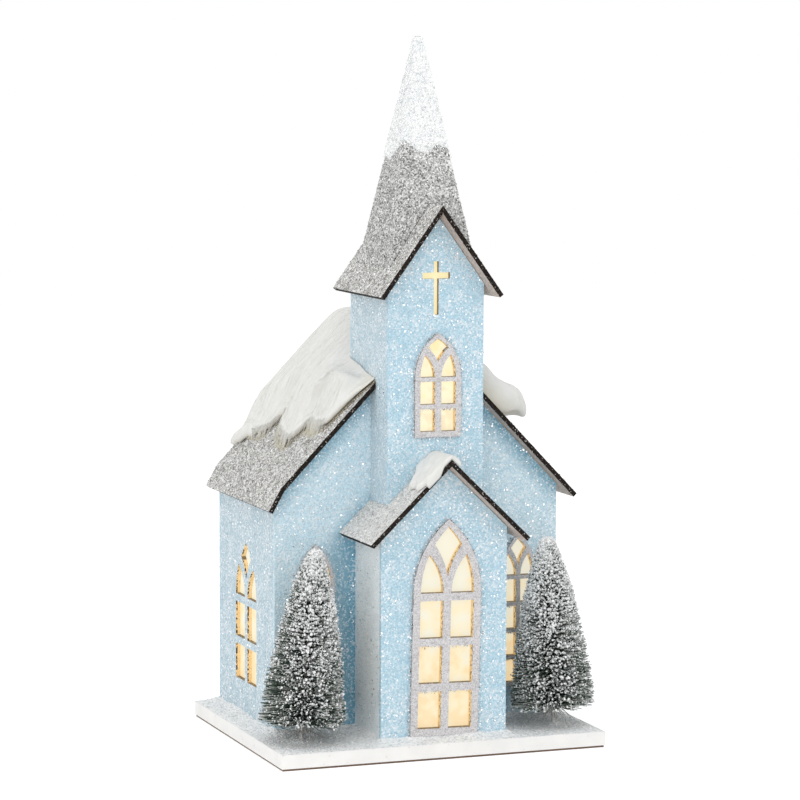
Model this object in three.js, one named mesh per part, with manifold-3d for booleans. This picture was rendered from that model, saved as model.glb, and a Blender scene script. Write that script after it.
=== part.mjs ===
// A lit tabletop church, cut from board, on a white base with two flocked bottle-brush trees.
// Millimetres, +Z up. The origin is the centre of the base's underside, and the front faces -Y.
import * as THREE from "three";
import { mergeVertices } from "three/addons/utils/BufferGeometryUtils.js";
import Module from "manifold-3d";

const wasm = await Module();
wasm.setup();

// Clearances.
const glueGap = 0.1; // between flat faces that are glued
const seatGap = 0.3; // between slanted or cut faces, and round loose pieces
const overcut = 1; // how far a cutting shape passes the face that it cuts

// Board and paper.
const wallThickness = 2.5;
const roofThickness = 2.5;
const filmThickness = 0.3;
const filmLap = 4; // how far a pane reaches past its opening

// Base.
const baseWidth = 183;
const baseDepth = 154;
const baseThickness = 7.4;
const backingThickness = 1;
const backingInset = 0.7;

// The building's place on the base: its centre line, and the strip of base behind it.
const buildingShift = 2;
const backMargin = 7;

// Nave. Heights here and below are above the top of the base.
const naveWidth = 162;
const naveDepth = 97;
const naveRidge = 216.5;
const navePitch = 46;
const naveEavesWidth = 8.7;
const naveFrontEavesWidth = 8;
const naveBackEavesWidth = 6.4;
const creaseStrip = 13.5; // the left panel's folded lower strip
const creaseFold = 15;

// Tower, which stands in front of the nave's wall and reaches back over its roof.
const towerWidth = 54;
const towerReach = 26;
const towerBack = 32;
const towerRidge = 282.7;
const towerPitch = 54;
const towerEavesWidth = 7.5;
const towerFrontEavesWidth = 9.4;
const towerBackEavesWidth = 8;

// Porch, in front of the tower.
const porchWidth = 71;
const porchReach = 14;
const porchRidge = 150.4;
const porchPitch = 43.8;
const porchEavesWidth = 9.3;
const porchFrontEavesWidth = 9.9;

// Spire: a card pyramid over the tower's roof.
const spireTop = 371.5;
const spireTipHalf = 1.25;
const cardThickness = 1.2;
const flockThickness = 0.8;
const flockLine = 306.5; // lowest reach of the white tip
const flockGapOffset = 8.2; // the gaps in its lower edge, from the middle of each side
const flockGapWidth = 8.4;
const flockLeftGapHeight = 10;
const flockRightGapHeight = 7;

// Window tracery: two lights under a pointed head, and a curved diamond between their tips.
// Tip, corner and foot are points of the head, from the middle of its springing line.
const porchWindow = {
  across: -0.3, // from the centre line
  lean: 1.2,
  half: 15.1,
  mullion: 4.4,
  bar: 4.1,
  sill: 6.5,
  rows: 3,
  rowHeight: 20,
  rise: 35.2,
  lancetTip: [10.6, 20.6],
  diamondCorner: [7.7, 25.8],
  diamondFoot: 8.6,
  band: 4,
};
const towerWindow = {
  across: 0.8,
  lean: 0,
  half: 10,
  mullion: 3.6,
  bar: 2.4,
  sill: 163,
  rows: 2,
  rowHeight: 12,
  rise: 20.3,
  lancetTip: [7.35, 11.9],
  diamondCorner: [6, 15.6],
  diamondFoot: 8,
  band: 3,
};
const naveWindow = {
  across: 58.3,
  lean: 0,
  half: 8.7,
  mullion: 2.4,
  bar: 2.1,
  sill: 20.5,
  rows: 4,
  rowHeight: 12.6,
  rise: 20.3,
  lancetTip: [6, 12],
  diamondCorner: [4.4, 15],
  diamondFoot: 5,
  band: 2,
};
const sideWindow = {
  across: 49, // back from the nave's front face
  lean: 0,
  half: 18,
  mullion: 4.5,
  bar: 4.2,
  sill: 20,
  rows: 2,
  rowHeight: 19.05,
  rise: 30.1,
  lancetTip: [13, 17],
  diamondCorner: [8.2, 21.6],
  diamondFoot: 10,
};
const frameThickness = 1.5;
const arcSteps = 3;

// Cross cut through the tower's front, above the window.
const crossGap = 12.6; // from the window's head to its foot
const crossHeight = 28.3;
const crossArmLift = 19; // above its foot
const crossArmHeight = 3.3;
const crossHalfWidth = 7.7;
const crossStemHalf = 1.35;

// Light openings inside, between the nave, the tower and the porch.
const lightSill = 50;
const lightHalf = 13;
const lightHeight = 36;

// Snow batting on the nave. It bridges the ridge with a flat crown, and its edges are full.
const battingThickness = 12;
const battingCrown = 14; // half the width of the crown
const battingLeft = 72; // reach from the centre line
const battingRight = 60;
const battingTipThickness = 5.6; // of the left edge, which is pulled thin
const battingTipReach = 66; // where it is down to that, from the centre line
const battingTipLength = 8;
const battingFront = 1; // behind the nave's front face, beside the tower
const battingBackInset = 3;
const battingSwell = 4.8; // how far the right edge swells out, at its middle height
const battingTipSwell = 2;
// Its plan: how far out from the centre line, and how far behind the nave's front face.
const battingLobe = [50, 3];
const battingTongue = [62, 32];
const battingNotch = [52.5, 64];
const battingHeel = [65, 80];
const battingRightBend = [54, 2];
const battingRightTip = [60, 15];

// The small batting patch on the porch.
const patchThickness = 2.5;
const patchCrown = 2;
const patchLeft = 18;
const patchRight = 4;
const patchSwell = 1;
const patchInset = 0.5; // behind the porch roof's front edge
const patchDepth = 11; // along the patch's lower edge
const patchTop = 10; // half-way up the slope, where it reaches the tower

// Trees.
const treeReach = 23.5; // how far the stems stand in front of the nave's wall
const treeSpread = 72.4; // from the base's centre line
const treeHeight = 103;
const treeLeftLean = 4.6;
const treeRightLean = -2.6;
const stemRadius = 1;
const stemHole = 5; // how deep a stem stands in the base
const brushStart = 10;
const brushRadius = 21.2;
const brushShoulder = 2.2; // exponents of the outline: how late it draws in, and how blunt its top is
const brushTaper = 0.73;
const sleeveRadius = 2;
const sleeveTip = 4; // the sleeve's closed point, above the wire
const strandCount = 190; // a tree
const strandRoot = 0.62;
const shortestStrand = 3;
const strandTopRise = 57; // degrees above level at the top, and below level at the foot
const strandFootDroop = 3;
const strandFoot = 1.1; // lowest root above the sleeve's lower end
const strandRows = 87.4; // height over which the strands are rooted

// Battery box, let into the base from above.
const cellRadius = 5.25;
const cellLength = 43.5;
const cellNub = 1;
const cellNubRadius = 1.9;
const cellPitch = 11;
const cellCount = 3;
const cellLift = 2.8; // lowest line of the cells above the ground
const cellChamfer = 0.4;
const contactThickness = 0.4;
const contactHalf = 3.6;
const springLength = 5.1;
const springTurns = 3;
const springWire = 0.35; // radius
const springRoot = 3.5; // radius of the first turn, and of the last
const springTip = 1.9;
const boxWall = 1.5;
const boxCeiling = 1.6;
const boxRimLift = 0.4;
const doorThickness = 1.6;
const doorLift = 0.6;
const tongueHeight = 2.6; // above the door's middle plane
const tongueLength = 1.2;
const tongueHalf = 5;
const fingerRadius = 4;
const fingerInset = 6;
const fingerDepth = 0.4;
const pinRadius = 0.6;
const pinLength = 1.1;
const boxBack = 51; // box centre, back from the nave's front face

// Slide switch beside the cells.
const switchLength = 8.6;
const switchWidth = 3.8;
const switchHeight = 3.6;
const switchTravel = 3;
const switchFloor = 3; // underside of the switch body above the ground
const sliderLength = 2.2;
const sliderWidth = 1.8;
const scoopLength = 9;
const scoopWidth = 6.5;
const scoopDepth = 1.6;

// Fixing ears and screws.
const earLength = 8;
const earReach = 6;
const earThickness = 2;
const screwRadius = 1.1;
const screwHeadRadius = 2.2;
const screwHeadHeight = 1.5;
const screwHeadTop = 1.8; // radius
const screwPoint = 1.5;
const screwBite = 5;
const pilotSpare = 1; // a pilot hole is this much deeper than its screw

// Lamps and their lead.
const leadRadius = 1;
const leadBend = 3;
const leadSteps = 78;
const lampRadius = 2.5;
const lampHeight = 8.6;
const lampFlange = 2.9;
const lampFlangeHeight = 1;
const lampDrop = 6; // top lamp below the tower's pane
const domeSteps = 4;

// Derived places.
const baseTop = backingThickness + glueGap + baseThickness;
const naveFrontY = baseDepth / 2 - backMargin - naveDepth;
const deg = Math.PI / 180;
const nearPoint = 1e-3;
const roundSides = 8; // of thin rods and their holes

// Solid helpers.

function solid(geometry) {
  const bare = geometry.clone();
  bare.deleteAttribute("normal");
  bare.deleteAttribute("uv");
  const merged = mergeVertices(bare, 1e-4);
  return new wasm.Manifold(
    new wasm.Mesh({
      numProp: 3,
      vertProperties: merged.attributes.position.array,
      triVerts: new Uint32Array(merged.index.array),
    }),
  );
}

function surface(body) {
  const mesh = body.getMesh();
  const geometry = new THREE.BufferGeometry();
  geometry.setAttribute("position", new THREE.BufferAttribute(mesh.vertProperties, 3));
  geometry.setIndex(new THREE.BufferAttribute(mesh.triVerts, 1));
  geometry.computeVertexNormals();
  return geometry;
}

function cut(geometry, ...tools) {
  return surface(tools.reduce((body, tool) => body.subtract(solid(tool)), solid(geometry)));
}

function join(geometry, ...others) {
  return surface(others.reduce((body, other) => body.add(solid(other)), solid(geometry)));
}

function common(geometry, other) {
  return surface(solid(geometry).intersect(solid(other)));
}

function block(x0, x1, y0, y1, z0, z1) {
  const geometry = new THREE.BoxGeometry(x1 - x0, y1 - y0, z1 - z0);
  geometry.translate((x0 + x1) / 2, (y0 + y1) / 2, (z0 + z1) / 2);
  return geometry;
}

function outlineOf(points) {
  return new THREE.Shape(points.map(([x, y]) => new THREE.Vector2(x, y)));
}

function extruded(outline, depth) {
  return new THREE.ExtrudeGeometry(outline, { depth, bevelEnabled: false, curveSegments: arcSteps });
}

// A board cut through by its holes, lying in x and y with its thickness in z.
function pierced(outline, thickness, holes) {
  const board = extruded(outline, thickness);
  if (!holes.length) return board;
  const tools = holes.map((hole) => {
    const tool = extruded(new THREE.Shape(hole.getPoints()), thickness + 2 * overcut);
    tool.translate(0, 0, -overcut);
    return tool;
  });
  return cut(board, ...tools);
}

// A board whose outline is drawn in x and z, from the plane y backwards.
function boardAcross(outline, y, thickness, holes = []) {
  const geometry = pierced(outline, thickness, holes);
  geometry.rotateX(Math.PI / 2);
  geometry.translate(0, y + thickness, 0);
  return geometry;
}

// A board whose outline is drawn in y and z, from the plane x to the right.
function boardAlong(outline, x, thickness, holes = []) {
  const geometry = pierced(outline, thickness, holes);
  geometry.applyMatrix4(new THREE.Matrix4().set(0, 0, 1, x, 1, 0, 0, 0, 0, 1, 0, 0, 0, 0, 0, 1));
  return geometry;
}

// A board whose outline is drawn in x and y, from the plane z upwards.
function boardFlat(outline, z, thickness) {
  const geometry = extruded(outline, thickness);
  geometry.translate(0, 0, z);
  return geometry;
}

// An upright round rod or hole.
function upright(radius, low, high, sides) {
  const rod = new THREE.CylinderGeometry(radius, radius, high - low, sides);
  rod.rotateX(Math.PI / 2);
  rod.translate(0, 0, (low + high) / 2);
  return rod;
}

function turned(profile, sides) {
  const geometry = new THREE.LatheGeometry(
    profile.map(([r, z]) => new THREE.Vector2(r, z)),
    sides,
  );
  geometry.rotateX(Math.PI / 2);
  return geometry;
}

// Finishes.
const church = new THREE.Group();
church.name = "church";

function finish(color, roughness, metalness = 0) {
  return () => new THREE.MeshStandardMaterial({ color, roughness, metalness });
}

const blueGlitter = finish(0xa9d2ea, 0.6);
const silverGlitter = finish(0xaaa9a8, 0.5, 0.2);
const whiteBoard = finish(0xf3f2ef, 0.7);
const brownBoard = finish(0x6e5342, 0.9);
const snow = finish(0xf5f5f3, 0.9);
const paper = finish(0xffe3ae, 0.8);
const wire = finish(0x9c9a94, 0.5, 0.4);
const bristle = finish(0x3b4f45, 0.9);
const whitePlastic = finish(0xeeeeea, 0.5);
const blackPlastic = finish(0x1d1d1f, 0.5);
const plated = finish(0xc9ccce, 0.3, 0.9);
const cellWrap = finish(0x4f5b68, 0.4, 0.3);
const clearLamp = finish(0xfff0cc, 0.2);

function part(parent, name, geometry, material) {
  const mesh = new THREE.Mesh(geometry, material());
  mesh.name = name;
  parent.add(mesh);
  return mesh;
}

// A gabled roof's section, in x and z. Its lines run from the ridge down to the eaves.
function gable({ half, ridge, pitch, eaves }, crease) {
  const slope = Math.tan(pitch * deg);
  const reach = half + eaves;
  return {
    half,
    // Height of the surface that lies a depth below the roof's top surface.
    height(x, depth) {
      const plain = ridge - depth / Math.cos(pitch * deg) - slope * Math.abs(x);
      if (!crease || x > 0) return plain;
      return Math.min(plain, creaseHeight(x, depth));
    },
    // The line a depth below the top surface, from the given distance out to the eaves.
    line(side, depth, from) {
      const points = [[side * from, this.height(side * from, depth)]];
      if (!crease || side > 0) {
        const drop = depth * Math.sin(pitch * deg);
        const edge = reach - drop;
        points.push([side * edge, this.height(side * edge, depth)]);
        return points;
      }
      const fold = foldPoint(depth);
      const foot = stripFoot(depth);
      points.push([-fold[0], fold[1]], [-foot[0], foot[1]]);
      return points;
    },
  };

  function foldPoint(depth) {
    const along = reach / Math.cos(pitch * deg) - crease.strip;
    const mean = (pitch + crease.fold / 2) * deg;
    const offset = depth / Math.cos((crease.fold / 2) * deg);
    return [
      along * Math.cos(pitch * deg) - offset * Math.sin(mean),
      ridge - along * Math.sin(pitch * deg) - offset * Math.cos(mean),
    ];
  }

  function stripFoot(depth) {
    const steep = (pitch + crease.fold) * deg;
    const top = foldPoint(0);
    return [
      top[0] + crease.strip * Math.cos(steep) - depth * Math.sin(steep),
      top[1] - crease.strip * Math.sin(steep) - depth * Math.cos(steep),
    ];
  }

  function creaseHeight(x, depth) {
    const fold = foldPoint(depth);
    return fold[1] - (Math.abs(x) - fold[0]) * Math.tan((pitch + crease.fold) * deg);
  }
}

// One roof panel, mitred at the ridge and square at the eaves.
function roofPanel(roof, side, front, back) {
  const top = roof.line(side, 0, glueGap);
  const under = roof.line(side, roofThickness, glueGap);
  return boardAcross(outlineOf([...top, ...under.reverse()]), front, back - front);
}

// The solid under a roof's top surface grown by a gap, used to cut what stands on it.
function roofWedge(roof, gap, front, back, low) {
  const left = roof.line(-1, -gap, 0).reverse();
  const right = roof.line(1, -gap, 0).slice(1);
  const points = [...left, ...right, [right.at(-1)[0], low], [left[0][0], low]];
  return boardAcross(outlineOf(points), front, back - front);
}

const naveRoof = gable(
  { half: naveWidth / 2, ridge: naveRidge, pitch: navePitch, eaves: naveEavesWidth },
  { strip: creaseStrip, fold: creaseFold },
);
const towerRoof = gable({
  half: towerWidth / 2,
  ridge: towerRidge,
  pitch: towerPitch,
  eaves: towerEavesWidth,
});
const porchRoof = gable({
  half: porchWidth / 2,
  ridge: porchRidge,
  pitch: porchPitch,
  eaves: porchEavesWidth,
});
const wallUnder = roofThickness + seatGap;

// A gabled wall's outline, in x and z, standing on the plane foot.
function gableOutline(roof, foot, half = roof.half) {
  const points = [
    [half, foot],
    [half, roof.height(half, wallUnder)],
    [0, roof.height(0, wallUnder)],
  ];
  const fold = roof.line(-1, wallUnder, 0);
  if (fold.length > 2 && -fold[1][0] < half) points.push(fold[1]);
  points.push([-half, roof.height(-half, wallUnder)], [-half, foot]);
  return outlineOf(points);
}

// Windows. Every arc of a head is struck from a centre on the springing line, above the rows of panes.

function springing(window) {
  return window.sill + window.rows * (window.rowHeight + window.bar);
}

// Adds the arc between two points given from the middle of the springing line.
function strike(path, window, from, to) {
  const centre = (from[0] ** 2 + from[1] ** 2 - to[0] ** 2 - to[1] ** 2) / (2 * (from[0] - to[0]));
  const radius = Math.hypot(from[0] - centre, from[1]);
  const start = Math.atan2(from[1], from[0] - centre);
  const end = Math.atan2(to[1], to[0] - centre);
  path.absarc(centre, springing(window), radius, start, end, end < start);
}

function mirrored([x, z]) {
  return [-x, z];
}

// The pointed outline round the panes, grown by the frame's band.
function frameOutline(window) {
  const half = window.half + window.band;
  const foot = window.sill - window.band;
  const spring = [half, 0];
  const top = [0, window.rise + window.band];
  const outline = new THREE.Path();
  outline.moveTo(-half, foot);
  outline.lineTo(half, foot);
  strike(outline, window, spring, top);
  strike(outline, window, top, mirrored(spring));
  outline.closePath();
  return outline;
}

// The panes: rows of rectangles, two lancets and the curved diamond between them.
function paneHoles(window, across = window.across) {
  const inner = window.mullion / 2;
  const holes = [diamondHole(window)];
  const pitch = window.rowHeight + window.bar;
  for (const side of [-1, 1]) {
    for (let row = 0; row < window.rows; row += 1) {
      const low = window.sill + row * pitch;
      const pane = new THREE.Path();
      pane.moveTo(side * inner, low);
      pane.lineTo(side * window.half, low);
      pane.lineTo(side * window.half, low + window.rowHeight);
      pane.lineTo(side * inner, low + window.rowHeight);
      pane.closePath();
      holes.push(pane);
    }
    const tip = [side * window.lancetTip[0], window.lancetTip[1]];
    const lancet = new THREE.Path();
    strike(lancet, window, [side * window.half, 0], tip);
    strike(lancet, window, tip, [side * inner, 0]);
    lancet.closePath();
    holes.push(lancet);
  }
  return holes.map((hole) => placed(hole, window, across));
}

function diamondHole(window) {
  const corner = window.diamondCorner;
  const top = [0, window.rise];
  const foot = [0, window.diamondFoot];
  const hole = new THREE.Path();
  strike(hole, window, foot, corner);
  strike(hole, window, corner, top);
  strike(hole, window, top, mirrored(corner));
  strike(hole, window, mirrored(corner), foot);
  return hole;
}

// An outline's points, without the doubled ones where its lines and arcs meet.
function pointsApart(path) {
  const points = path.getPoints(arcSteps);
  return points.filter((p, i) => p.distanceTo(points[(i + 1) % points.length]) > nearPoint);
}

// The outline leaned about the sill and moved across its wall.
function placed(path, window, across) {
  const foot = new THREE.Vector2(0, window.sill);
  const shift = new THREE.Vector2(across, 0);
  const turn = (point) => point.clone().rotateAround(foot, -window.lean * deg).add(shift);
  return new THREE.Path(pointsApart(path).map(turn));
}

function traceryFrame(window, across = window.across) {
  const outline = new THREE.Shape(placed(frameOutline(window), window, across).getPoints());
  return boardAcross(outline, -glueGap - frameThickness, frameThickness, paneHoles(window, across));
}

function headHeight(window) {
  return springing(window) + window.rise;
}

function film(window, y, across = window.across, top = headHeight(window)) {
  const half = window.half + filmLap;
  const low = window.sill - filmLap;
  return block(across - half, across + half, y, y + filmThickness, low, top + filmLap);
}

// Base: white board on a thin brown backing, both with the mouth for the battery box.
const bayWidth = (cellCount - 1) * cellPitch + 2 * (cellRadius + seatGap);
const boxWidth = bayWidth + 2 * boxWall;
const cellSpace = cellLength + cellNub + springLength + seatGap + 2 * glueGap;
const bayLength = cellSpace + 2 * (contactThickness + glueGap);
const switchBay = switchLength + 2 * seatGap;
const boxLength = bayLength + switchBay + 3 * boxWall;
const boxTop = cellLift + 2 * cellRadius + seatGap + boxCeiling;
const boxCentreX = buildingShift;
const boxCentreY = naveFrontY + boxBack;

function boxMouth(gap) {
  return block(
    boxCentreX - boxLength / 2 - gap,
    boxCentreX + boxLength / 2 + gap,
    boxCentreY - boxWidth / 2 - gap,
    boxCentreY + boxWidth / 2 + gap,
    -baseTop,
    2 * baseTop,
  );
}

function earCentre(side) {
  return boxCentreY + side * (boxWidth / 2 + seatGap + earReach / 2);
}

function makeBase() {
  const half = baseWidth / 2;
  const deep = baseDepth / 2;
  const low = backingThickness + glueGap;
  const backing = block(
    -half + backingInset,
    half - backingInset,
    -deep + backingInset,
    deep - backingInset,
    0,
    backingThickness,
  );
  part(church, "bottom_board", cut(backing, boxMouth(seatGap)), brownBoard);
  const holes = [boxMouth(seatGap)];
  for (const side of [-1, 1]) {
    const pilotFoot = baseTop - screwBite - pilotSpare;
    const pilot = upright(screwRadius + seatGap, pilotFoot, baseTop + overcut, roundSides);
    pilot.translate(boxCentreX, earCentre(side), 0);
    holes.push(pilot);
  }
  for (const tree of trees) {
    const socket = treeRod(tree, stemRadius + seatGap, -stemHole - seatGap, stemHole);
    holes.push(socket);
  }
  part(church, "base_board", cut(block(-half, half, -deep, deep, low, baseTop), ...holes), whiteBoard);
}

// Trees: a twisted wire stem in a socket, and bristles spiralling round it.
const trees = [
  { name: "tree_left", x: -treeSpread, lean: treeLeftLean },
  { name: "tree_right", x: treeSpread, lean: treeRightLean },
];

function treeFrame(tree) {
  const matrix = new THREE.Matrix4().makeRotationY(tree.lean * deg);
  matrix.setPosition(tree.x, naveFrontY - treeReach, baseTop);
  return matrix;
}

function treeRod(tree, radius, from, to) {
  const rod = upright(radius, from, to, roundSides);
  rod.applyMatrix4(treeFrame(tree));
  return rod;
}

function brushProfile(share) {
  return brushRadius * (1 - share ** brushShoulder) ** brushTaper;
}

// Bristles fused to a thin sleeve round the wire, one golden angle apart, rising near the top.
function brush() {
  const bore = stemRadius + seatGap;
  const sleeveTop = treeHeight - sleeveTip;
  const sleeve = turned(
    [
      [bore, brushStart],
      [sleeveRadius, brushStart],
      [sleeveRadius, sleeveTop],
      [0, treeHeight],
      [0, sleeveTop],
      [bore, sleeveTop],
      [bore, brushStart],
    ],
    roundSides,
  );
  const goldenAngle = Math.PI * (3 - Math.sqrt(5));
  const strands = [];
  for (let i = 0; i < strandCount; i += 1) {
    const share = (i + 0.5) / strandCount;
    const rise = ((strandTopRise + strandFootDroop) * share ** 3 - strandFootDroop) * deg;
    const reach = Math.max(brushProfile(share), shortestStrand) / Math.cos(rise);
    const root = (sleeveRadius + bore) / 2 + strandRoot * Math.sin(Math.abs(rise));
    const strand = new THREE.ConeGeometry(strandRoot, reach - root, 3);
    strand.rotateZ(-Math.PI / 2);
    strand.translate((reach - root) / 2, 0, 0);
    strand.rotateY(-rise);
    strand.translate(root, 0, 0);
    strand.rotateZ(i * goldenAngle);
    strand.translate(0, 0, brushStart + strandFoot + share * strandRows);
    strands.push(strand);
  }
  return join(sleeve, ...strands);
}

function makeTrees() {
  for (const tree of trees) {
    const stemTop = treeHeight - sleeveTip - seatGap;
    part(church, tree.name + "_stem", treeRod(tree, stemRadius, -stemHole, stemTop), wire);
    const group = new THREE.Group();
    group.applyMatrix4(treeFrame(tree));
    church.add(group);
    part(group, tree.name + "_bristles", brush(), bristle);
  }
}

// Building, in its own frame: x from the centre line, y back from the nave's front face,
// z up from the top of the base.
const building = new THREE.Group();
building.position.set(buildingShift, naveFrontY, baseTop);
church.add(building);

const half = { nave: naveWidth / 2, tower: towerWidth / 2, porch: porchWidth / 2 };
const towerFront = -towerReach;
const porchFront = towerFront - porchReach;

function towerShaft(gap) {
  return block(
    -half.tower - gap,
    half.tower + gap,
    towerFront - gap,
    towerBack + gap,
    -naveRidge,
    2 * naveRidge,
  );
}

function lightOpening() {
  const opening = new THREE.Path();
  opening.moveTo(-lightHalf, lightSill);
  opening.lineTo(lightHalf, lightSill);
  opening.lineTo(lightHalf, lightSill + lightHeight);
  opening.lineTo(-lightHalf, lightSill + lightHeight);
  opening.closePath();
  return opening;
}

function makeNave() {
  const front = gableOutline(naveRoof, glueGap);
  const panes = [-1, 1].flatMap((side) => paneHoles(naveWindow, side * naveWindow.across));
  const holes = [...panes, lightOpening()];
  part(building, "nave_front_wall", boardAcross(front, 0, wallThickness, holes), blueGlitter);
  const back = gableOutline(naveRoof, glueGap);
  const backY = naveDepth - wallThickness;
  part(building, "nave_back_wall", boardAcross(back, backY, wallThickness), blueGlitter);
  for (const [name, side] of [["left", -1], ["right", 1]]) {
    const top = naveRoof.height(side * half.nave, wallUnder);
    const near = wallThickness + glueGap;
    const far = naveDepth - wallThickness - glueGap;
    const outline = outlineOf([[near, glueGap], [far, glueGap], [far, top], [near, top]]);
    const x = side > 0 ? half.nave - wallThickness : -half.nave;
    const wall = boardAlong(outline, x, wallThickness, paneHoles(sideWindow));
    part(building, `nave_${name}_wall`, wall, blueGlitter);
    const panel = roofPanel(naveRoof, side, -naveFrontEavesWidth, naveDepth + naveBackEavesWidth);
    const notch = block(
      -half.tower - seatGap,
      half.tower + seatGap,
      -naveFrontEavesWidth - overcut,
      -glueGap,
      0,
      2 * naveRidge,
    );
    part(building, `nave_roof_${name}`, cut(panel, notch), silverGlitter);
    const pane = film(sideWindow, 0, 0);
    pane.rotateZ(Math.PI / 2);
    const inner = half.nave - wallThickness - glueGap;
    pane.translate(side > 0 ? inner : -inner + filmThickness, sideWindow.across, 0);
    part(building, `nave_side_film_${name}`, pane, paper);
    const across = side * naveWindow.across;
    const frontFilm = film(naveWindow, wallThickness + glueGap, across);
    part(building, `nave_front_film_${name}`, frontFilm, paper);
    const frame = traceryFrame(naveWindow, across);
    part(building, `nave_window_frame_${name}`, frame, silverGlitter);
  }
}

const crossFoot = headHeight(towerWindow) + crossGap;
const crossTop = crossFoot + crossHeight;

function crossHole() {
  const armLow = crossFoot + crossArmLift;
  const armHigh = armLow + crossArmHeight;
  const right = [
    [crossStemHalf, crossFoot],
    [crossStemHalf, armLow],
    [crossHalfWidth, armLow],
    [crossHalfWidth, armHigh],
    [crossStemHalf, armHigh],
    [crossStemHalf, crossTop],
  ];
  const left = right.map(([x, z]) => [-x, z]).reverse();
  return new THREE.Path([...right, ...left].map(([x, z]) => new THREE.Vector2(x, z)));
}

function makeTower() {
  const front = gableOutline(towerRoof, glueGap);
  const holes = [...paneHoles(towerWindow), crossHole(), lightOpening()];
  part(building, "tower_front_wall", boardAcross(front, towerFront, wallThickness, holes), blueGlitter);
  const sideTop = towerRoof.height(half.tower, wallUnder);
  const seat = naveRoof.height(half.tower, -seatGap) - overcut;
  const near = towerFront + wallThickness + glueGap;
  const far = towerBack - wallThickness - glueGap;
  const wedge = roofWedge(naveRoof, seatGap, -glueGap, naveDepth, 0);
  for (const [name, side] of [["left", -1], ["right", 1]]) {
    const outline = outlineOf([
      [near, glueGap],
      [-glueGap, glueGap],
      [-glueGap, seat],
      [far, seat],
      [far, sideTop],
      [near, sideTop],
    ]);
    const x = side > 0 ? half.tower - wallThickness : -half.tower;
    const wall = cut(boardAlong(outline, x, wallThickness), wedge);
    part(building, `tower_${name}_wall`, wall, blueGlitter);
    const frontEdge = towerFront - towerFrontEavesWidth;
    const panel = roofPanel(towerRoof, side, frontEdge, towerBack + towerBackEavesWidth);
    part(building, `tower_roof_${name}`, panel, silverGlitter);
  }
  const back = boardAcross(gableOutline(towerRoof, seat), towerBack - wallThickness, wallThickness);
  part(building, "tower_back_wall", cut(back, wedge), blueGlitter);
  const frame = traceryFrame(towerWindow);
  frame.translate(0, towerFront, 0);
  part(building, "tower_window_frame", frame, silverGlitter);
  const filmFront = towerFront + wallThickness + glueGap;
  const panes = film(towerWindow, filmFront, towerWindow.across, crossTop);
  part(building, "tower_film", panes, paper);
}

function makePorch() {
  const front = gableOutline(porchRoof, glueGap);
  const wall = boardAcross(front, porchFront, wallThickness, paneHoles(porchWindow));
  part(building, "porch_front_wall", wall, blueGlitter);
  const top = porchRoof.height(half.porch, wallUnder);
  const near = porchFront + wallThickness + glueGap;
  for (const [name, side] of [["left", -1], ["right", 1]]) {
    const outline = outlineOf([[near, glueGap], [-glueGap, glueGap], [-glueGap, top], [near, top]]);
    const x = side > 0 ? half.porch - wallThickness : -half.porch;
    part(building, `porch_${name}_wall`, boardAlong(outline, x, wallThickness), blueGlitter);
    const panel = roofPanel(porchRoof, side, porchFront - porchFrontEavesWidth, -glueGap);
    part(building, `porch_roof_${name}`, cut(panel, towerShaft(seatGap)), silverGlitter);
  }
  const frame = traceryFrame(porchWindow);
  frame.translate(0, porchFront, 0);
  part(building, "porch_window_frame", frame, silverGlitter);
  part(building, "porch_film", film(porchWindow, porchFront + wallThickness + glueGap), paper);
}

// Spire: a hollow pyramid as wide as the tower at its eaves, cut to sit across the roof.
const spireFoot = towerRoof.height(half.tower + towerEavesWidth, 0);
const spireBack = (towerFront + towerBack) / 2;

function pyramid(grow, low, high) {
  const slope = (half.tower - spireTipHalf) / (spireTop - flockThickness - spireFoot);
  const at = (z) => half.tower + grow - slope * (z - spireFoot);
  const geometry = new THREE.CylinderGeometry(
    at(high) * Math.SQRT2,
    at(low) * Math.SQRT2,
    high - low,
    4,
    1,
  );
  geometry.rotateX(Math.PI / 2);
  geometry.rotateZ(Math.PI / 4);
  geometry.translate(0, spireBack, (low + high) / 2);
  return geometry;
}

function makeSpire() {
  const cardTop = spireTop - flockThickness;
  const hollowTop = cardTop - 4 * cardThickness;
  const roofFront = towerFront - towerFrontEavesWidth - overcut;
  const roofBack = towerBack + towerBackEavesWidth + overcut;
  const shell = cut(
    pyramid(0, spireFoot, cardTop),
    pyramid(-cardThickness, spireFoot - overcut, hollowTop),
    roofWedge(towerRoof, seatGap, roofFront, roofBack, 0),
  );
  part(building, "spire", shell, silverGlitter);
  const cap = cut(
    pyramid(flockThickness, flockLine, spireTop),
    pyramid(glueGap, flockLine - overcut, cardTop + glueGap),
  );
  const reach = half.tower;
  const gaps = [];
  for (const [side, height] of [[-1, flockLeftGapHeight], [1, flockRightGapHeight]]) {
    const middle = side * flockGapOffset;
    const gap = outlineOf([
      [middle - flockGapWidth / 2, flockLine - overcut],
      [middle + flockGapWidth / 2, flockLine - overcut],
      [middle, flockLine + height],
    ]);
    gaps.push(boardAcross(gap, spireBack - reach, 2 * reach));
    const sideways = boardAlong(gap, -reach, 2 * reach);
    sideways.translate(0, spireBack, 0);
    gaps.push(sideways);
  }
  part(building, "spire_snow", cut(cap, ...gaps), snow);
}

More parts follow.
